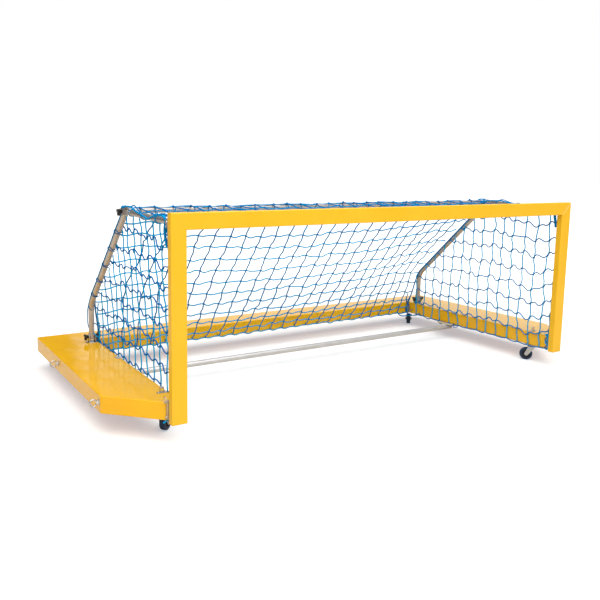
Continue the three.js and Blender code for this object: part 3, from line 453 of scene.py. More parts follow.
zinc = finish("zinc_plate", drawn, {"Metallic": 1.0},
              colour=(0.60, 0.60, 0.58, 1), stain=(0.42, 0.42, 0.42, 1),
              stretch=(1.0, 1.0, 1.0), lines=120.0, roughness=0.28, roughness_spread=0.25)
wheel_plastic = finish("wheel_plastic", uneven, {"Specular IOR Level": 0.2},
                       colour=(0.016, 0.019, 0.028, 1), patch_colour=(0.03, 0.033, 0.04, 1),
                       patch_scale=60.0, roughness=0.38, wave_scale=80.0, wave_height=0.0002)
tyre_rubber = finish("tyre_rubber", uneven, {"Specular IOR Level": 0.2},
                     colour=(0.012, 0.034, 0.085, 1), patch_colour=(0.03, 0.055, 0.11, 1),
                     patch_scale=50.0, roughness=0.42, wave_scale=120.0, wave_height=0.0003,
                     grain_scale=1800.0, grain_height=0.00005)


def both_halves(profile):
    """A profile and its mirror, end to end."""
    return profile + [(radius, -height) for radius, height in profile[::-1]]


for name, (x, y, ahead, aside) in CASTERS.items():
    top = (x, y, FLOAT_LOW - 0.3)
    trail, axle_way = (ahead, aside, 0), (-aside, ahead, 0)
    swivel, upright = (trail, axle_way, (0, 0, 1)), (trail, (0, 0, 1), axle_way)
    axle = np.array(top) + TRAIL * np.array(trail) - (0, 0, WHEEL_DROP)
    carried(finished(f"{name}_top_plate", [
        sheet(oblong((-PLATE_HALF[0], -PLATE_HALF[1]), PLATE_HALF, 6, 5), -SHEET_STEEL, 0.0, top,
              edge=0.6),
        spun(RACE, top),
        *[hex_head((x + sx * SCREW_PLACES[0], y + sy * SCREW_PLACES[1], FLOAT_LOW - 3.3),
                   ((1, 0, 0), (0, 1, 0), (0, 0, -1)), 9, 3.4) for sx in (-1, 1) for sy in (-1, 1)],
    ], zinc), "float", "fork_steel", f"{name}_caster_plate")
    crown = rounded([(-22, -20.5, 14), (27, -20.5, 8), (27, 20.5, 8), (-22, 20.5, 14)], 6)
    cheek = rounded([(-15, -12.3, 1.5), (-15, -24.3, 4), (29.05, -80.37, 11),
                     (49.37, -71.95, 11), (21, -12.3, 4)], 6)
    carried(finished(f"{name}_fork", [
        sheet(crown, -15.3, -12.3, top, swivel),
        *[sheet(cheek, low, low + SHEET_STEEL, top, upright) for low in (-20.5, 17.5)],
        spun(KINGPIN, top, sides=24),
        spun(AXLE, axle, upright, 20),
        *[hex_head(axle + np.array(axle_way) * end * 20.5, (trail, (0, 0, 1),
                   tuple(end * np.array(axle_way))), 12, 4.5) for end in (-1, 1)],
    ], zinc), f"{name}_swivel", "fork_steel", f"{name}_caster_fork")
    hub = spun(both_halves(HUB), axle, upright, 40, True)
    carried(finished(f"{name}_hub", [hub], wheel_plastic),
            f"{name}_wheel", "wheel_plastic", f"{name}_wheel_hub")
    tread = spun(both_halves(TREAD), axle, upright, 48, True)
    carried(finished(f"{name}_tread", [tread], tyre_rubber),
            f"{name}_wheel", "tyre_rubber", f"{name}_tyre")

# Wing fittings.
# A pressed stainless foot bracket with two ears and a stop bolt on the front of each wing,
# the pull pin that holds the post in it, a pad eye, and two ring bolts on the outer side.
FOOT, STOP_DROP = np.array((1299.0, 46.0, 194.0)), 69.0
PAD_EYE = np.array((1295.0, 187.0, FLOAT_HIGH))
BOW, BOW_WIRE, BOW_RISE, BOW_FOOT = 9.0, 3.0, 19.3, 2.0
RING_BOLTS, RING_Z = {"front": 296.0, "rear": 1016.0}, 154.3
RING_SEAT = [(10, 0.3), (14.4, 0.3), (15, 0.9), (15, 2.4), (13.5, 3.3), (6.5, 3.3), (5.2, 4.5),
             (5, 10.8), (4, 12)]


def rod(start, way, length, radius, sides=24, edge=0.6):
    """A round bar from start along one drawing axis, its ends broken by a small edge."""
    way = np.asarray(way, float)
    across = np.roll(way, 1)
    return spun([(radius - edge, 0), (radius, edge), (radius, length - edge),
                 (radius - edge, length)], start, (across, np.cross(way, across), way), sides)


def ring(centre, way_a, way_b, radius, wire, sides=40, around=10):
    """A wire ring: a circle of that radius in the plane of two directions, and round each
    of its points a smaller circle in the plane of the outward direction and the third."""
    a = np.linspace(0, 2 * np.pi, sides, endpoint=False)[:, None, None]
    b = np.linspace(0, 2 * np.pi, around, endpoint=False)[None, :, None]
    way_a, way_b = np.asarray(way_a, float), np.asarray(way_b, float)
    out = way_a * np.cos(a) + way_b * np.sin(a)
    return skin(np.asarray(centre, float) + out * (radius + wire * np.cos(b))
                + np.cross(way_a, way_b) * wire * np.sin(b), loop=True)


# The pad eye's bow is a wire up, over in a half circle and down, round points on its line.
a = np.linspace(0, np.pi, 17)
bow_out = at(np.r_[1, np.cos(a), -1], 0, np.r_[0, np.sin(a), 0])
bow = bow_out * BOW + (0, 0, BOW_RISE)
bow[[0, -1], 2] = BOW_FOOT
b = np.linspace(0, 2 * np.pi, 12, endpoint=False)[:, None]
bow = bow[:, None] + BOW_WIRE * (bow_out[:, None] * np.cos(b) + np.array((0, 1.0, 0)) * np.sin(b))

for side, sign in SIDES:
    foot, pad = FOOT * (sign, 1, 1), PAD_EYE * (sign, 1, 1)
    ear = rounded([(-7.4, -77, 2), (10.7, -77, 1), (10.7, -14, 6), (7.4, -7.5, 2),
                   (7.4, 7.4, 7), (-7.4, 7.4, 7)], 6)
    carried(finished(f"{side}_foot_plate", [
        sheet(oblong((-32, -77), (32, -14), 3, 3), 8.0, 10.7, foot, BACKWARD, 0.6),
        *[sheet(ear, low, low + 4, foot, ACROSS) for low in (-32, 28)],
        rod(foot - (34, 0, STOP_DROP), (1, 0, 0), 68, 5),
        *[hex_head(foot + (end * 32, 0, -STOP_DROP), outward(end), 13, 5.5) for end in (-1, 1)],
    ], stainless), "float", "stainless", f"{side}_foot_bracket")
    carried(finished(f"{side}_pull_pin", [
        rod(foot - (sign * 35, 0, 0), (sign, 0, 0), 80.3, 4, 20, 1.2),
        rod(foot + (sign * 32.3, 0, 0), (sign, 0, 0), 3, 6.5),
        ring(foot + (sign * 40.3, 0, 13), (0, 1, 0), (0, 0, 1), 13, 1.5, 36, 8),
    ], stainless), f"{side}_pull_pin", "stainless", f"{side}_hinge_pin")
    carried(finished(f"{side}_deck_eye", [
        sheet(oblong((-25, -10), (25, 10), 6, 5), 0.3, 3.3, pad, UPRIGHT, 0.8, 3),
        skin(stand(bow, pad)),
        *[spun([(1, 5.0), (3, 4.6), (4.2, 3.2), (4.2, 2.6)], pad + (x, 0, 0), sides=20)
          for x in (-18, 18)],
    ], stainless), "float", "stainless", f"{side}_pad_eye")
    for end, y in RING_BOLTS.items():
        carried(finished(f"{side}_{end}_ring", [
            spun(RING_SEAT, (sign * WING_OUTER, y, RING_Z), outward(sign)),
            ring((sign * WING_OUTER + sign * 27.3, y, RING_Z), (1, 0, 0), (0, 0, 1), 16.5, 3.5),
        ], stainless), "float", "stainless", f"{side}_{end}_ring_bolt")

# Front frame.
# Two posts and the crossbar in rectangular aluminium tube, mitred and welded at the corners,
# powder coated yellow. Hinge lugs and arm brackets are welded and screwed on behind.
BAR_DEEP, BAR_WIDE, BAR_EDGE = 38.0, 75.0, 4.0
POST_INNER, POST_FOOT, BAR_UNDER = 1250.0, 97.0, 957.0
RAIL_X = 1300.0
ARM_START = np.array((RAIL_X, 58.0, 989.0))
MITRE_EDGE, SEAM_STEPS = 0.35, 24

frame_paint = finish(
    "frame_paint", uneven, {"Coat Weight": 0.1, "Coat Roughness": 0.2, "Specular IOR Level": 0.3},
    colour=(0.85, 0.475, 0.016, 1), patch_colour=(0.82, 0.45, 0.008, 1), patch_scale=4.0,
    roughness=0.30, roughness_spread=0.1, wave_scale=30.0, wave_height=0.0004,
    grain_scale=700.0, grain_height=0.00005)
pale_seam_look = finish("pale_seam", uneven, {},
                     colour=(0.92, 0.80, 0.50, 1), patch_colour=(0.86, 0.56, 0.12, 1),
                     patch_scale=90.0, roughness=0.5, wave_scale=200.0, wave_height=0.0003)

section = oblong((0, 0), (BAR_WIDE, BAR_DEEP), BAR_EDGE, 6, 1.5)
post = slab(section, POST_FOOT, BAR_UNDER, MITRE_EDGE, 3)
half = len(post) // 2
post[half:, :, 2] += post[half:, :, 0]
bar = slab(section, -POST_INNER, POST_INNER, MITRE_EDGE, 3)
bar[:half, :, 2] -= bar[:half, :, 0]
bar[half:, :, 2] += bar[half:, :, 0]
for side, sign in SIDES:
    ways = ((sign, 0, 0), (0, 1, 0), (0, 0, 1))
    carried(finished(f"{side}_front_post", [skin(stand(post, (sign * POST_INNER, 0, 0), ways))],
                     frame_paint), "front_frame", "frame_paint", f"{side}_post")
carried(finished("front_crossbar", [skin(stand(bar, (0, 0, BAR_UNDER + 0.2),
                                               ((0, 0, 1), (0, 1, 0), (1, 0, 0))))], frame_paint),
        "front_frame", "frame_paint", "crossbar")

# A pale cream bead along the right corner's mitre, over the yellow coat.
along = np.linspace(4.0, BAR_WIDE - 4.0, SEAM_STEPS)
seam = at(POST_INNER + along, 0.2, BAR_UNDER + along)
around = np.linspace(0, 2 * np.pi, 8, endpoint=False)[:, None]
bead = (0.9 + 0.35 * np.sin(np.arange(SEAM_STEPS) * 2.1))[:, None, None] * (
    np.array((0.707, 0, -0.707)) * np.cos(around) * 2.2 + np.array((0, 0.5, 0)) * np.sin(around))
carried(finished("right_corner_seam", [skin(seam[:, None] + bead)], pale_seam_look),
        "front_frame", "frame_paint")

for side, sign in SIDES:
    foot, top = FOOT * (sign, 1, 1), ARM_START * (sign, 1, 1)
    lug = rounded([(-7.7, -81, 1.5), (6.8, -81, 2), (6.8, -75.2, 1), (-5.4, -75.2, 6),
                   (-5.4, -62.8, 6), (6.8, -62.8, 1), (6.8, 6.8, 6.5), (-7.7, 6.8, 3)], 5)
    carried(finished(f"{side}_post_hinge", [sheet(lug, -27.5, 27.5, foot, ACROSS, 0.8)], stainless),
            "front_frame", "stainless", f"{side}_post_lug")
    back = rounded([(-22, -97, 4), (22, -97, 4), (22, 14, 3), (-22, 14, 3)], 4)
    ear = rounded([(-19.7, -42, 2), (-15.5, -42, 3), (14, -10.5, 13), (14, 14, 13.5),
                   (-19.7, 14, 2)], 6)
    carried(finished(f"{side}_arm_plate", [
        sheet(back, -19.7, -15.7, top, BACKWARD),
        *[sheet(ear, low, low + 4, top, ACROSS) for low in (-18.8, 14.8)],
        rod(top - (19.5, 0, 0), (1, 0, 0), 39, 5),
        *[hex_head(top + (end * 18.8, 0, 0), outward(end), 13, 5) for end in (-1, 1)],
        *[spun([(1, -13.4), (3.4, -13.8), (4.8, -15.7)], top + (x, 0, z), BACKWARD, 20)
          for x in (-12, 12) for z in (-84, -58)],
    ], stainless), "front_frame", "stainless", f"{side}_arm_bracket")

# Side arms.
# A round aluminium tube from each arm bracket back to the corner, with a nose rod in front
# and a welded corner plate behind, clamped to the leg by a three-lobed black knob.
ARM_END = np.array((RAIL_X, 622.0, 1002.0))
ARM_LENGTH = np.linalg.norm(ARM_END - ARM_START)
ARM_WAY = (ARM_END - ARM_START) / ARM_LENGTH
ARM_UP = np.cross((1.0, 0, 0), ARM_WAY)
ARM_TUBE = [(12, 3), (12, 0.6), (12.6, 0), (13.4, 0), (14, 0.6), (14, 507.4), (13.4, 508),
            (12.6, 508), (12, 507.4), (12, 490)]
GRIP = np.array([
    (9.0, 20.8, 0), (9.4, 27.4, 0), (12.0, 28.9, 0.6), (18.4, 29.2, 1), (20.0, 30.4, 1),
    (20.5, 32.4, 1), (20.5, 40.0, 1), (20.0, 42.2, 1), (18.4, 43.6, 1), (14.0, 43.8, 0.9),
    (9.0, 42.6, 0.3), (6.0, 42.4, 0)])

aluminium_along = finish("aluminium_along", drawn, {"Metallic": 0.6},
                         colour=(0.58, 0.53, 0.48, 1), stain=(0.42, 0.365, 0.32, 1),
                         stretch=(1.0, 0.03, 0.03), roughness=0.3)
knob_plastic = finish("knob_plastic", uneven, {"Specular IOR Level": 0.2},
                      colour=(0.012, 0.012, 0.014, 1), patch_colour=(0.03, 0.03, 0.032, 1),
                      patch_scale=60.0, roughness=0.30, wave_scale=120.0, wave_height=0.0002)


def knob(name, place, sign, stud_from, stud_radius, body, replaced):
    """One piece in moulded black and steel: a three-lobed grip on a round hub, its insert,
    and its stud along x. Each ring's radius is its own times
    1 + share * (0.757 + 0.205 cos 3a + 0.038 cos 6a - 1), a from straight down."""
    a = np.linspace(0, 2 * np.pi, 60, endpoint=False)
    shape = 0.757 + 0.205 * np.cos(3 * (a + np.pi / 2)) + 0.038 * np.cos(6 * (a + np.pi / 2))
    radius = GRIP[:, :1] * (1 + GRIP[:, 2:] * (shape - 1))
    rings = at(radius * np.cos(a), radius * np.sin(a), GRIP[:, 1:2])
    grip = skin(stand(rings, place, outward(sign)))
    stud = spun([(stud_radius - 0.5, stud_from), (stud_radius, stud_from + 0.5),
                 (stud_radius, 29.0)], place, outward(sign), 20)
    insert = spun([(5.5, 42.2), (5.5, 43.0), (4.9, 43.4), (1.0, 43.4)], place, outward(sign), 20)
    piece = finished(name, [grip, stud, insert], knob_plastic, 50.0)
    piece.data.materials.append(stainless)
    index = np.zeros(len(piece.data.polygons), np.int32)
    index[len(grip[1]):] = 1
    piece.data.polygons.foreach_set("material_index", index)
    carried(piece, body, "knob_plastic", replaced)


for side, sign in SIDES:
    start = ARM_START * (sign, 1, 1)
    flat = (tuple(ARM_WAY), tuple(ARM_UP), (sign, 0, 0))
    lower = [(ARM_LENGTH - 82, -14, 4), (ARM_LENGTH - 30, -14, 30), (ARM_LENGTH - 10, -18, 8),
             (ARM_LENGTH + 18, -18, 17.9)]
    carried(finished(f"{side}_arm", [
        spun(ARM_TUBE, start, ((sign, 0, 0), tuple(ARM_UP), tuple(ARM_WAY)), 40),
        rod(start - (14, 0, 0), (1, 0, 0), 28, 13.5, 36, 1.0),
        sheet(oblong((473, -8), (503, 8), 2, 3), 10, 17.2, start, flat, 1, 2, 1.0),
        sheet(rounded(lower + [(x, -z, r) for x, z, r in lower[::-1]], 6), 16.5, 20.5, start, flat),
    ], aluminium_along), f"{side}_arm", "tube_aluminium", f"{side}_side_arm")
    knob(f"{side}_corner_grip", ARM_END * (sign, 1, 1), sign, 14.0, 4.0,
         f"{side}_corner_clamp", f"{side}_corner_knob")

# Rear hoop.
# Two bent aluminium legs and the tube that joins their tops. Each leg stands in a welded
# stainless clevis on a round flange, clamped from both sides by a knob on a through stud.
LEG_RADIUS, CROSS_RADIUS, WALL = 16.0, 14.0, 2.0
LEG_FOOT, LEG_BEND = np.array((1250.0, 225.0)), np.array((1247.0, 420.0))
LEG_TOP, LEG_BEND_RADIUS = np.array((622.0, 1002.0)), 120.0
TOP_TUBE, CROSS_HALF = (666.0, 1002.4), 1316

# A browner, darker aluminium for the cross tube, drawn across.
brown_across = finish("brown_aluminium_across", drawn, {"Metallic": 0.6},
                     colour=(0.52, 0.48, 0.44, 1), stain=(0.38, 0.33, 0.29, 1),
                     stretch=(0.02, 1.0, 1.0), roughness=0.3)


def leg_line():
    """The leg's middle line as (y, z): straight, an arc that touches both straights, which
    starts bend radius * tan(half the turn) before their corner, and straight again."""
    up = (LEG_BEND - LEG_FOOT) / np.linalg.norm(LEG_BEND - LEG_FOOT)
    on = (LEG_TOP - LEG_BEND) / np.linalg.norm(LEG_TOP - LEG_BEND)
    bend = np.arctan2(up[0] * on[1] - up[1] * on[0], up @ on)
    start = LEG_BEND - up * LEG_BEND_RADIUS * np.tan(abs(bend) / 2)
    a = np.linspace(0, bend, 18)
    inward = np.sign(bend) * np.array((-up[1], up[0]))
    arc = start + LEG_BEND_RADIUS * (np.sin(np.abs(a))[:, None] * up
                                     + (1 - np.cos(a))[:, None] * inward)
    return np.concatenate([[LEG_FOOT - 15 * up], [(LEG_FOOT + start) / 2], arc,
                           [(arc[-1] + LEG_TOP) / 2], [LEG_TOP + 16 * on]])


def pipe(path, radius, reference, sides=32):
    """The skin of an open tube on a path: round each point a circle in the plane of the
    reference direction and the one across it and the path. Both ends fold in to the bore."""
    way = np.gradient(path, axis=0)
    way /= np.linalg.norm(way, axis=1)[:, None]
    across = np.broadcast_to(np.asarray(reference, float), path.shape)
    up = np.cross(way, across)
    a = np.linspace(0, 2 * np.pi, sides, endpoint=False)[:, None]
    circle = across[:, None] * np.cos(a) + up[:, None] * np.sin(a)
    bore, lip = radius - WALL, radius - 0.6
    first, last = path[0] + way[0] * 0.6, path[-1] - way[-1] * 0.6
    return skin(np.concatenate([
        [path[0] + way[0] * 20 + bore * circle[0], first + bore * circle[0],
         path[0] + (bore + 0.5) * circle[0], path[0] + lip * circle[0], first + radius * circle[0]],
        path[1:-1, None] + radius * circle[1:-1],
        [last + radius * circle[-1], path[-1] + lip * circle[-1],
         path[-1] + (bore + 0.5) * circle[-1], last + bore * circle[-1],
         path[-1] - way[-1] * 20 + bore * circle[-1]]]))


line = leg_line()
for side, sign in SIDES:
    leg = pipe(at(sign * RAIL_X, *line.T), LEG_RADIUS, (1, 0, 0))
    carried(finished(f"{side}_hoop_leg", [leg], aluminium_along),
            "rear_hoop", "tube_aluminium", f"{side}_rear_leg")
    pivot = np.array((sign * RAIL_X, *LEG_FOOT))
    cheek = rounded([(-18, -34.2, 3), (18, -34.2, 3), (18, 18, 17.9), (-18, 18, 17.9)], 10)
    carried(finished(f"{side}_clevis", [
        spun([(31, -34.2), (33, -33.6), (33, -31.4), (31.6, -30.2), (22, -30.2)], pivot, sides=44),
        *[sheet(cheek, low, low + 4, pivot, ACROSS, 0.8) for low in (-20.5, 16.5)],
        *[spun([(1, -27.6), (3.4, -28), (4.6, -30.2)], pivot + (x, y, 0), sides=18)
          for x, y in ((-26, 0), (26, 0), (0, -26), (0, 26))],
    ], stainless), "float", "stainless", f"{side}_leg_clevis")
    knob(f"{side}_stud_grip", pivot, sign, -35.5, 5.0, f"{side}_stud", f"{side}_clevis_stud_knob")
    knob(f"{side}_nut_grip", pivot, -sign, 20.0, 5.5, f"{side}_nut", f"{side}_clevis_nut_knob")

cross = at(np.linspace(-CROSS_HALF, CROSS_HALF, 9), *TOP_TUBE)
carried(finished("hoop_cross_tube", [pipe(cross, CROSS_RADIUS, (0, 0, 1))], brown_across),
        "rear_hoop", "tube_aluminium", "rear_top_tube")

# Nets.
# Knotted polyester twine, drawn 7 to 8 mm thick in meshes of about 100 mm: a roof panel, a
# rear panel and two side panels. Strands sway between their knots, as the knots turn them.
# The knots are painted dark, as shade in them.
TWINE, FAR_TWINE, KNOT, KNOT_SHADE, MESH = 3.4, 3.9, 6.6, 0.1, 100.0
CORD_GLOSS = {"Specular IOR Level": 0.08}
chance = np.random.default_rng(11)

# Laid twine: three strands wound round each other, seen as slanting ridges, with painted shade in
# the grooves between them.
# U runs round the twine and V along it in metres, so the lay is a wave of V / pitch + U.
laid, given = effect("laid_twine", {
    "Bright": (0.01, 0.3, 0.75, 1), "Deep": (0.01, 0.05, 0.3, 1), "Pitch": 0.016, "Depth": 0.0006})
split = node(laid, "ShaderNodeSeparateXYZ", {
    "Vector": node(laid, "ShaderNodeUVMap", uv_map="lay").outputs["UV"]}).outputs
phase = maths(laid, "ADD", maths(laid, "DIVIDE", split["Y"], given["Pitch"]), split["X"])
ridge = node(laid, "ShaderNodeMapRange", {
    "Value": maths(laid, "SINE", maths(laid, "MULTIPLY", phase, 3 * 2 * np.pi)),
    "From Min": -1.0, "From Max": 1.0}).outputs["Result"]
fuzz = noise(laid, node(laid, "ShaderNodeTexCoord").outputs["Object"], 25.0, 3.0)
# Painted shade and light: the lay's grooves turn to the deep colour, and the tone attribute of each
# point brightens or darkens its strand as light would, with some noise.
shade = maths(laid, "ADD", maths(laid, "MULTIPLY_ADD", ridge, 0.30, -0.30),
              node(laid, "ShaderNodeAttribute", attribute_name="shading_and_tone").outputs["Fac"])
shade = maths(laid, "ADD", shade, maths(laid, "MULTIPLY_ADD", fuzz, 0.5, -0.25), use_clamp=True)
give(laid, mixed(laid, shade, given["Deep"], given["Bright"]),
     maths(laid, "MULTIPLY_ADD", ridge, -0.15, 0.6), bump(laid, ridge, given["Depth"]))

net_twine = finish("net_twine", laid, CORD_GLOSS, bright=(0.0, 0.41, 0.72, 1),
                   deep=(0.0, 0.12, 0.38, 1), pitch=0.016, depth=0.0005)


def strung(knots, slack, sway, wander=2.0, steps=6):
    """Paths through knots (strand, knot, xyz). From knot to knot a path goes straight, drops
    by slack * 4s(1-s), sways by sway * sin(2 pi s), and wanders a little, s from 0 to 1."""
    s = np.linspace(0, 1, steps, endpoint=False)[:, None]
    from_knot, to_knot = knots[:, :-1, None], knots[:, 1:, None]
    cells = from_knot.shape[:2] + (1,)
    drop = slack * chance.uniform(0.5, 1.5, cells + (1,)) * 4 * s * (1 - s) * np.array((0, 0, 1.0))
    bow = chance.normal(0, wander, cells + (3,)) * np.sin(np.pi * s)
    swing = (np.asarray(sway, float) * chance.uniform(0.5, 1.5, cells + (1,))
             + chance.normal(0, wander * 0.5, cells + (3,))) * np.sin(2 * np.pi * s)
    spans = from_knot + (to_knot - from_knot) * s - drop + bow + swing
    return np.concatenate([spans.reshape(len(knots), -1, 3), knots[:, -1:]], 1)


def cords(paths, radius, reference, shading_and_tone, sides=6):
    """Rings round many paths at once (strand, step, around, xyz): each point plus radius
    times (across * cos a + up * sin a), across being the path's way crossed with the
    reference. Gives the rings, the length along, and the painted light and tone of each
    point."""
    paths = np.asarray(paths, float)
    way = np.gradient(paths, axis=1)
    way /= np.linalg.norm(way, axis=2)[..., None]
    across = np.cross(way, np.asarray(reference, float))
    across /= np.maximum(np.linalg.norm(across, axis=2)[..., None], 1e-9)
    up = np.cross(across, way)
    a = np.linspace(0, 2 * np.pi, sides, endpoint=False)[:, None]
    size = np.broadcast_to(np.asarray(radius, float), paths.shape[:2])[..., None, None]
    rings = paths[:, :, None] + size * (across[:, :, None] * np.cos(a) + up[:, :, None] * np.sin(a))
    step = np.linalg.norm(np.diff(paths, axis=1), axis=2)
    run = np.concatenate([np.zeros((len(paths), 1)), np.cumsum(step, 1)], 1) * MM
    return rings, run, np.broadcast_to(np.asarray(shading_and_tone, float), paths.shape[:2])


def corded(name, sets, look):
    """One piece from sets of ringed cords: quads from ring to ring, a flat end on each, the
    map lay with U round and V along, and the painted light and tone as an attribute of
    the points."""
    places, shading_and_tone_lists, faces, maps, start = [], [], [], [], 0
    for rings, run, shading_and_tone in sets:
        count, steps, sides = rings.shape[:3]
        index = start + np.arange(count * steps * sides).reshape(count, steps, sides)
        near, far = index[:, :-1], index[:, 1:]
        quads = np.stack([near, far, np.roll(far, -1, 2), np.roll(near, -1, 2)], -1)
        faces += quads.reshape(-1, 4).tolist()
        faces += index[:, 0].tolist() + index[:, -1, ::-1].tolist()
        u = np.arange(sides) / sides
        u = np.stack([u, u, u + 1 / sides, u + 1 / sides], -1)
        v = np.stack([run[:, :-1], run[:, 1:], run[:, 1:], run[:, :-1]], -1)
        corner = np.stack(np.broadcast_arrays(u[None, None], v[:, :, None]), -1)
        maps += [corner.reshape(-1, 2), np.zeros((count * sides * 2, 2))]
        places.append(rings.reshape(-1, 3))
        shading_and_tone_lists.append(np.repeat(shading_and_tone.reshape(-1), sides))
        start += rings.size // 3
    piece = placed(name, np.concatenate(places), faces, look, 60)
    piece.data.uv_layers.new(name="lay").uv.foreach_set(
        "vector", np.concatenate(maps).astype(np.float32).ravel())
    piece.data.attributes.new("shading_and_tone", "FLOAT", "POINT").data.foreach_set(
        "value", np.concatenate(shading_and_tone_lists).astype(np.float32))
    return piece


def knotted(knots, way, reference):
    """A knot at each point: a short cord along way whose radius rises and falls as a sine, painted
    dark as shade.
    """
    s = np.linspace(0, 1, 6)
    lengths = (s - 0.5) * 2 * KNOT * 1.15
    points = knots.reshape(-1, 1, 3) + lengths[:, None] * np.asarray(way, float)
    points = points + chance.normal(0, 0.6, points.shape[:1] + (1, 3))
    return cords(points, KNOT * (0.25 + 0.75 * np.sin(np.pi * s)), reference, KNOT_SHADE)


def cut_off(piece, name, place, across):
    """What lies on the far side of a plane, as a piece of its own. Both cuts are closed."""
    far = linked(name, piece.data.copy())
    far.data.name = name
    for mesh, keep_far in ((far.data, True), (piece.data, False)):
        shape = bmesh.new()
        shape.from_mesh(mesh)
        cut = bmesh.ops.bisect_plane(
            shape, geom=shape.verts[:] + shape.edges[:] + shape.faces[:], plane_co=place,
            plane_no=across, clear_inner=keep_far, clear_outer=not keep_far)["geom_cut"]
        edges = [e for e in cut if isinstance(e, bmesh.types.BMEdge)]
        bmesh.ops.holes_fill(shape, edges=edges, sides=0)
        shape.to_mesh(mesh)
        shape.free()
    return far


def leg_y(z):
    """Where the leg's middle line is at a height."""
    return np.interp(z, line[:, 1], line[:, 0])


def rail_z(y):
    """The height of the arm, or behind it of the leg, at a distance from the front."""
    arm = ARM_START[2] + (y - ARM_START[1]) * ARM_WAY[2] / ARM_WAY[1]
    return np.where(y < ARM_END[1], arm, np.interp(y, line[::-1, 0], line[::-1, 1]))


# The rear panel hangs straight from the cross tube to the rear beam in its middle, and is
# drawn back to the legs at its sides.
REAR_TOP, REAR_FOOT, REAR_SIDE = np.array((654.0, 990.0)), np.array((1309.0, 112.0)), 1281.0
NET_BEND, STRAIGHT_TO = 430, 320
rear_columns = np.concatenate([[-REAR_SIDE], np.arange(-1120.0, 1200.0, MESH), [REAR_SIDE]])
rear_rows = np.array([0.0, 0.09, 0.187, 0.27, 0.358, 0.446, 0.532, 0.614, 0.698, 0.784, 0.866,
                      0.948, 1.0])


def side_line(z):
    """How far back the panel's side is at a height: behind the leg by 10 mm and 24 sin of the
    share of its upper part, and below the bend on the way to the rear corner."""
    above = leg_y(z) + 10 + 24 * np.sin(np.pi * np.clip((z - NET_BEND) / 573, 0, 1))
    below = np.interp(z, (108, 165, 228, 290, 362, NET_BEND), (1309, 1300, 1284, 1268, 1256, 1236))
    return np.where(z > NET_BEND, above, below)


def tuck(z):
    """How far the panel's side is drawn in below the bend: up to 38 mm, 230 mm further down."""
    return 38 * np.clip((NET_BEND - z) / 230, 0, 1)


def rear_place(x, v):
    """A point of the rear panel at x, v down from the top: on the straight line from top to
    foot, moved by a share of the way to the side line, which grows with |x| to the power
    1.7, the rows rising by 34 sin(pi v) (x / 1200)^2 towards the sides."""
    x, v = np.broadcast_arrays(np.asarray(x, float), np.asarray(v, float))
    straight = REAR_TOP + (REAR_FOOT - REAR_TOP) * v[..., None]
    share = np.clip((np.abs(x) - STRAIGHT_TO) / (REAR_SIDE - STRAIGHT_TO), 0, 1) ** 1.7
    edge_z = straight[..., 1] + 55 * np.sin(2 * np.pi * v) * (1 - v) ** 0.7
    y = straight[..., 0] + share * (side_line(edge_z) - straight[..., 0])
    z = straight[..., 1] + share * (edge_z - straight[..., 1])
    z = z + 34 * np.sin(np.pi * v) * (x / 1200) ** 2 * (1 - share ** 3)
    return at(x - tuck(z) * share * np.sign(x), y, z)


rear_knots = rear_place(rear_columns[None, :], rear_rows[:, None])
loose = np.ones(rear_knots.shape[:2])[..., None]
loose[[0, -1]] = 0.25
loose[:, [0, -1]] = 0.25
rear_knots += chance.normal(0, 4.0, rear_knots.shape) * loose * (1.0, 0.6, 1.0)
# Painted light and shade: the rear panel's rows take a bright tone and its columns a darker one, as
# the light falls across them.
rear_net = corded("rear_netting", [
    cords(strung(rear_knots[1:], 3.5, (0, 0, -4.0)), FAR_TWINE, (0, 1, 0),
          chance.uniform(0.7, 1.0, (12, 1))),
    cords(strung(rear_knots.transpose(1, 0, 2)[1:-1], 6.0, (0, 0, -4.5)), FAR_TWINE, (1, 0, 0),
          chance.uniform(0.3, 0.6, (24, 1))),
    knotted(rear_knots[1:-1, 1:-1], (1, 0, 0), (0, 1, 0)),
], net_twine)
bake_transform(rear_net)
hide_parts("rear_net")

# The roof panel is tied behind the crossbar and over the cross tube, where its last rows
# bunch together, and bags a little between them.
ROOF_FRONT, ROOF_REAR = 46.0, 662.0
roof_columns = np.arange(-1220.0, 1260.0, MESH)
roof_rows = np.array([ROOF_FRONT, 145.0, 247.0, 350.0, 452.0, 554.0, ROOF_REAR])


def roof_place(x, y):
    """A point of the roof panel: from 1024 to 1019 mm, less a bag of 26 sin(pi v), with
    slow waves across."""
    x, y = np.broadcast_arrays(np.asarray(x, float), np.asarray(y, float))
    v = (y - ROOF_FRONT) / (ROOF_REAR - ROOF_FRONT)
    z = 1024 - 5 * v - 26 * np.sin(np.pi * v)
    return at(x, y, z + 6 * np.sin(x / 170 + y / 90) * np.sin(np.pi * v))


roof_knots = roof_place(roof_columns[None, :], roof_rows[:, None])
roof_knots += chance.normal(0, 4.0, roof_knots.shape) * (2.5, 1.5, 0.6)
roof_knots[-1, :, 2] += 1.0
# Painted shade: the roof's strands, lit strongly from above, take low tones, its columns lower than
# its rows.
carried(corded("roof_netting", [
    cords(strung(roof_knots, 3.0, (0, 5.0, 0)), TWINE, (0, 0, 1),
          chance.uniform(0.15, 0.6, (len(roof_rows), 1))),
    cords(strung(roof_knots.transpose(1, 0, 2), 2.0, (5.0, 0, 0)), TWINE, (1, 0, 0),
          chance.uniform(0.0, 0.35, (len(roof_columns), 1))),
    knotted(roof_knots, (1, 0, 0), (0, 1, 0)),
], net_twine), "left_arm", "net_cord", "roof_net")

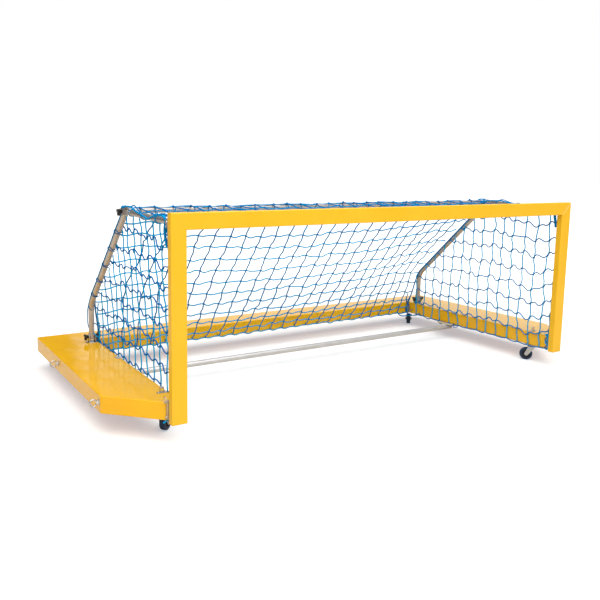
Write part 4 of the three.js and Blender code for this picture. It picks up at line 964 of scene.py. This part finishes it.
# Each side panel hangs inside its post, arm and leg, in front of the wing's inner face. It
# is drawn up at the post, and its rows turn round the leg. Both its parts have the cord
# where they meet. Folded, the posts lie at 28 degrees; the front part is cut in two along
# a plane at that slope under them, and both pieces ride the float. The gaps are what
# columns and rows keep from the tubes.
SIDE_ROWS = np.array([901.0, 798.0, 701.0, 596.0, 497.0, 397.0, 298.0, 200.0])
SIDE_STEP, SIDE_SPLIT, SIDE_TOP, SIDE_HEM = 86.0, 868.0, 1010.0, 108.0
SIDE_COLUMNS = 24.0 + SIDE_STEP * np.arange(15)
POST_Y, LOWEST_TOP, RAIL_GAP, ROW_GAP, LEG_GAP = 44.0, 250, 8.0, 40, 12
CORNER_ROW, CORNER_Y = 235, 1262.0
CREASE, CREASE_NORMAL = (0.0, -0.7145, 0.106), (0.0, -0.4695, 0.8829)


def side_x(z):
    """How far out the side panel hangs: just inside the wing up to 340 mm, then leaning out
    by a smooth step to the posts."""
    lean = np.clip((z - 340) / 660, 0, 1)
    return 1261.0 + 30.0 * lean * lean * (3 - 2 * lean)


def side_lift(y):
    """How far the rows leave the level: up at the post and at 535 mm, down at 200 mm."""
    return (38 * np.exp(-(y / 55) ** 2) - 26 * np.exp(-((y - 195) / 60) ** 2)
            + 20 * np.exp(-((y - 535) / 65) ** 2) + 12 * np.exp(-((y - 820) / 80) ** 2))


def hung(sign, y, z):
    """Points of a side panel at distances from the front and at heights."""
    return at(sign * side_x(z), y, z)


for side, sign in SIDES:
    row_z = np.r_[SIDE_TOP, SIDE_ROWS, SIDE_HEM]
    twine = TWINE if side == "left" else FAR_TWINE
    y = np.broadcast_to(SIDE_COLUMNS, (len(row_z), len(SIDE_COLUMNS))).copy()
    z = row_z[:, None] + side_lift(y) * np.r_[1, np.ones(len(SIDE_ROWS)), 0.1][:, None]
    y += chance.normal(0, 5.0, y.shape)
    z += chance.normal(0, 5.0, z.shape) * np.r_[1, np.ones(len(SIDE_ROWS)), 0.6][:, None]
    y[:, 0] = POST_Y
    for part, columns in (("front", np.flatnonzero(SIDE_COLUMNS < SIDE_SPLIT)),
                          ("rear", np.flatnonzero(SIDE_COLUMNS > SIDE_SPLIT - SIDE_STEP))):
        sets = [] if part == "front" else [seam_cord]
        for k in columns[1:] if part == "rear" else columns:
            top_z = float(rail_z(np.array(SIDE_COLUMNS[k])))
            if top_z < LOWEST_TOP:
                continue
            inside = np.r_[True, SIDE_ROWS < top_z - ROW_GAP, True]
            column_y, column_z = y[inside, k], z[inside, k]
            column_y[0], column_z[0] = SIDE_COLUMNS[k], top_z - RAIL_GAP
            column = hung(sign, column_y, column_z)
            # Painted light: the side panels' columns take a bright tone.
            sets.append(cords(strung(column[None], 0.0, (0, 3.0, 0), 2.5), twine, (1, 0, 0),
                              chance.uniform(0.8, 1.0)))
            if part == "front":
                rings, run, shading_and_tone = sets[-1]
                seam_cord = (0.75 * rings + 0.25 * rings.mean(2, keepdims=True), run, shading_and_tone)
            sets.append(knotted(column[1:-1], (0, 1, 0), (1, 0, 0)))
        for r, row in enumerate(SIDE_ROWS, 1):
            edge = float(leg_y(row)) - LEG_GAP if row > CORNER_ROW else CORNER_Y
            here = columns[SIDE_COLUMNS[columns] < edge - 20]
            if not len(here):
                continue
            points = hung(sign, y[r, here], z[r, here])
            if edge < SIDE_COLUMNS[columns[-1]] + 60:
                points = np.concatenate([points, [(sign * (RAIL_X - 15), edge, row + 8)]])
            if len(points) > 1:
                # Painted shade: the rows take a dark tone, a little less dark on the far right
                # panel.
                sets.append(cords(strung(points[None], 3.0, (0, 0, -8.5), 3.5, 8), twine, (1, 0, 0),
                                  chance.uniform(0.0, 0.2) + (0.25 if side == "right" else 0.0)))
        # Painted shade: the hem takes a mid-dark tone.
        hem = hung(sign, y[-1, columns], z[-1, columns])
        sets.append(cords(strung(hem[None], 6.0, (0, 0, 0), 3.0, 8), twine, (1, 0, 0), 0.25))
        piece = corded(f"{side}_side_netting_{part}", sets, net_twine)
        if part == "front":
            upper = cut_off(piece, f"{side}_side_netting_upper", CREASE, CREASE_NORMAL)
            carried(upper, "float", "net_cord")
            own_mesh(upper)
            carried(piece, "float", "net_cord", f"{side}_side_net_front")
        else:
            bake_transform(piece)
            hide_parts(f"{side}_side_net_rear")

# Ropes and lashings.
# Laid polyester rope, 5 to 9 mm thick, edges the net: over the corners and along the arms,
# down the posts and legs, and round the rear corners. Turns of twine lace it to the tubes.
# Each rope's tone is painted light and shade: ropes in the open are bright, and those tucked under
# and against the float are dark.
edge_rope = finish("edge_rope", laid, CORD_GLOSS, bright=(0.0, 0.40, 0.78, 1),
                   deep=(0.0, 0.10, 0.34, 1), pitch=0.030, depth=0.0012)


def through(points, steps=8):
    """A smooth path through points: between the middle two of every four it is half of
    2b + (c-a)s + (2a-5b+4c-d)s^2 + (3b-a-3c+d)s^3, s from 0 to 1."""
    full = np.concatenate([[2 * points[0] - points[1]], points, [2 * points[-1] - points[-2]]])
    a, b, c, d = full[:-3, None], full[1:-2, None], full[2:-1, None], full[3:, None]
    s = np.linspace(0, 1, steps, endpoint=False)[:, None]
    path = 0.5 * (2 * b + (c - a) * s + (2 * a - 5 * b + 4 * c - d) * s ** 2
                  + (3 * b - a - 3 * c + d) * s ** 3)
    return np.concatenate([path.reshape(-1, 3), points[-1:]])


def rope(points, sign, shading_and_tone, radius, reference, sides=8):
    """One rope through points that are given for the right side."""
    path = through(np.asarray(points, float) * (sign, 1, 1))
    return cords(path[None], radius, reference, shading_and_tone, sides)


def turns_round(centres, way, first, radius, shading_and_tone, cord=2.2):
    """Turns of twine round a tube: at each centre a circle in the plane of two directions
    across the tube, leaning along it by up to a third of its radius."""
    a = np.linspace(0, 2 * np.pi, 17)[:, None]
    way, first = np.asarray(way, float), np.asarray(first, float)
    lean = chance.uniform(-0.9, 0.5, (len(centres), 1, 1))
    circle = first * np.cos(a) + np.cross(way, first) * np.sin(a) + lean * way * np.cos(a)
    return cords(np.asarray(centres, float)[:, None] + (radius + cord) * circle, cord, way, shading_and_tone)


def lashed(name, body, *sets):
    """Ropes as one piece that rides a body."""
    carried(corded(name, sets, edge_rope), body, "net_cord")


for side, sign in SIDES:
    flip = np.array((sign, 1.0, 1.0))
    # Over the corner and along the arm to the post, with a second, darker line beside it.
    drape = np.array([
        (1262, 688, 1004), (1280, 676, 1022), (1303, 660, 1026), (1318, 630, 1020),
        (1319, 585, 1028), (1319, 530, 1032), (1319, 485, 1030), (1320, 426, 1015),
        (1321, 361, 1005), (1321, 310, 995), (1321, 273, 989), (1321, 225, 1001),
        (1320, 165, 1013), (1318, 110, 1014), (1312, 92, 1000), (1311, 100, 970),
        (1310, 106, 940), (1308, 99, 905), (1303, 94, 874)], float)
    if side == "right":
        drape[2:13, 0] = 2 * RAIL_X - drape[2:13, 0]
        drape[2:8, 2] -= (2, 6, 10, 12, 10, 4)
        drape[13:, 0] = 1330
    beside = drape[2:14] + (17 * sign, 6, 3)
    beside[:, 2] += 5 * np.sin(np.arange(12) * 1.9)
    ties = SIDE_COLUMNS[(SIDE_COLUMNS > 180) & (SIDE_COLUMNS < 600)][::2]
    ties = at(RAIL_X, ties, rail_z(ties))
    lashed(f"{side}_arm_ropes", f"{side}_arm",
           rope(drape[:14], sign, 0.65, 4.6, (1, 0.1, 0.2)),
           rope(beside, sign, 0.45, 3.2, (1, 0.1, 0.2)),
           turns_round(ties * flip, ARM_WAY, (1, 0, 0), 14.0, 0.7, 2.6))

    # From the arm's bracket to the post, twice, and down the back of the post.
    tail = drape[13:]
    lashed(f"{side}_post_rope", "front_frame",
           rope(tail, sign, 0.65, 4.6, (1, 0.1, 0.2)),
           rope(tail + np.array((-8, 4, 0)) + 3 * np.sin(np.arange(6) * 2.3)[:, None],
                sign, 0.6, 4.2, (1, 0.1, 0.2)),
           rope([(1271, 47, 1010), (1274, 48, 900), (1270, 46, 780), (1273, 48, 640),
                 (1269, 46, 500), (1271, 47, 380), (1267, 48, 290), (1262, 46, 225)],
                sign, 0.7, 3.2, (1, 0.3, 0)))

    # Along the outside of the leg, and on the left side a turn round the leg at each row of the
    # net.
    heights = np.array([975.0, 905, 805, 705, 600, 500, 405])
    outer = at(1316.5, leg_y(heights) + 10 + np.array([0, 3, 0, 3, 0, 3, 1]), heights)
    outer = np.concatenate([[(1306, 655, 1021)], outer, [
        (1316, 1276, 330), (1311, 1264, 276), (1288, 1224, 240), (1264, 1192, 214)]])
    rise = (LEG_TOP - LEG_BEND) / np.linalg.norm(LEG_TOP - LEG_BEND)
    wraps = at(RAIL_X, leg_y(heights[1:] - 6), heights[1:] - 6)
    leg_ropes = [rope(outer, sign, 0.7, 2.8, (1, 0.2, 0))]
    if side == "left":
        leg_ropes.append(turns_round(wraps * flip, (0, *rise), (1, 0, 0), 16.0, 0.3, 1.9))
    lashed(f"{side}_leg_ropes", "rear_hoop", *leg_ropes)

    # The rear panel's side rope, laced to the leg on the left side, and down to the rear corner.
    edge_z = np.array([1000, 930, 840, 740, 640, 540, 450, 400, 350, 290, 228, 165, 112], float)
    edge_y = side_line(edge_z)
    if side == "right":
        edge_y = np.where(edge_z > NET_BEND, leg_y(edge_z) + 8, edge_y)
    edge = np.concatenate([[(1270, 676, 1018)], at(REAR_SIDE - tuck(edge_z), edge_y, edge_z)])
    side_rope = [rope(edge, sign, 0.4, 4.6, (1, 0.1, 0))]
    if side == "left":
        a = np.linspace(0, 2 * np.pi, 21)
        link_z = np.array([[890.0], [790], [690], [590], [490]])
        lace = at(1295 + 24 * np.cos(a), leg_y(link_z) + 8 + 26 * np.sin(a),
                  link_z + 12 * np.sin(a))
        side_rope.append(cords(lace * flip, 1.9, (0.1, 0.6, 0.8), 0.3))
    side_rope = corded(f"{side}_rear_edge_rope", side_rope, edge_rope)
    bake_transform(side_rope)

    # At the rear corner the slack is gathered, and one loop hangs under the float.
    # Painted shade: the ropes gathered inside the corner take darker tones.
    lashed(f"{side}_corner_ropes", "float",
           rope([(1150, 1306, 118), (1165, 1306, 98), (1200, 1304, 86), (1245, 1300, 84),
                 (1272, 1262, 92), (1262, 1215, 104), (1258, 1180, 122)],
                sign, 0.5, 4.2, (0.2, 0.3, 1)),
           rope([(1240, 1300, 262), (1232, 1306, 210), (1246, 1302, 168), (1236, 1305, 128),
                 (1250, 1296, 104), (1262, 1270, 96)], sign, 0.15, 3.4, (1, 0.2, 0)),
           rope([(1252, 1290, 240), (1247, 1300, 196), (1256, 1296, 150), (1244, 1304, 116),
                 (1226, 1307, 108), (1200, 1308, 116)], sign, 0.45, 3.0, (1, 0.2, 0)),
           rope([(1228, 1306, 236), (1242, 1303, 190), (1228, 1306, 150), (1240, 1304, 108),
                 (1256, 1290, 122), (1259, 1262, 140)], sign, 0.3, 2.6, (1, 0.2, 0)))

    # At the foot the side rope is wound on the bracket, and its end shows under the float.
    # Painted light and shade: the outer turns are bright, the turns behind them dark.
    lashed(f"{side}_foot_ropes", "float",
           rope([(1260, 50, 204), (1257, 62, 196), (1261, 46, 176), (1257, 64, 150),
                 (1262, 46, 126), (1266, 60, 102), (1290, 72, 98), (1318, 66, 100),
                 (1334, 52, 104), (1346, 52, 98)], sign, 0.9, 3.6, (0.4, 0.5, 0.2)),
           rope([(1256, 66, 200), (1261, 50, 190), (1257, 66, 166), (1262, 48, 140),
                 (1258, 66, 116)], sign, 0.1, 2.8, (0.9, 0.3, 0.1)))

    # Bands of the hem pass round the stabiliser's plate.
    # Painted shade: the bands under the float are dark.
    lashed(f"{side}_plate_bands", "float", *[
        rope([(1262, y + 26, 112), (1250, y + 12, 96), (1236, y, 94), (1232, y - 8, 96),
              (1248, y - 18, 95), (1262, y - 30, 110)], sign, 0.1, 2.6, (0.1, 0.2, 1))
        for y in (812, 858, 948)])

# The roof panel's edges: a rope behind the crossbar, and turns of twine and a slack rope
# along the cross tube.
wave = np.linspace(-1240, 1240, 32)
wave = at(wave, 44 + 1.5 * np.sin(wave / 70), 1022 + 3 * np.sin(wave / 110))
lashed("crossbar_rope", "front_frame", rope(wave, 1, 0.6, 3.0, (0, 0.2, 1)))
ties = roof_columns + chance.normal(0, 3, len(roof_columns))
ties = at(ties, *TOP_TUBE)
run = np.linspace(-1275, 1275, 52)
run = at(run, TOP_TUBE[0] + 10, TOP_TUBE[1] + 13.5 + 3 * np.sin(run / 50))
lashed("cross_tube_ropes", "rear_hoop",
       turns_round(ties, (1, 0, 0), (0, 1, 0), CROSS_RADIUS,
                   chance.uniform(0.1, 0.8, (len(ties), 1))),
       rope(run, 1, 0.5, 2.6, (0, 0.2, 1), 6))
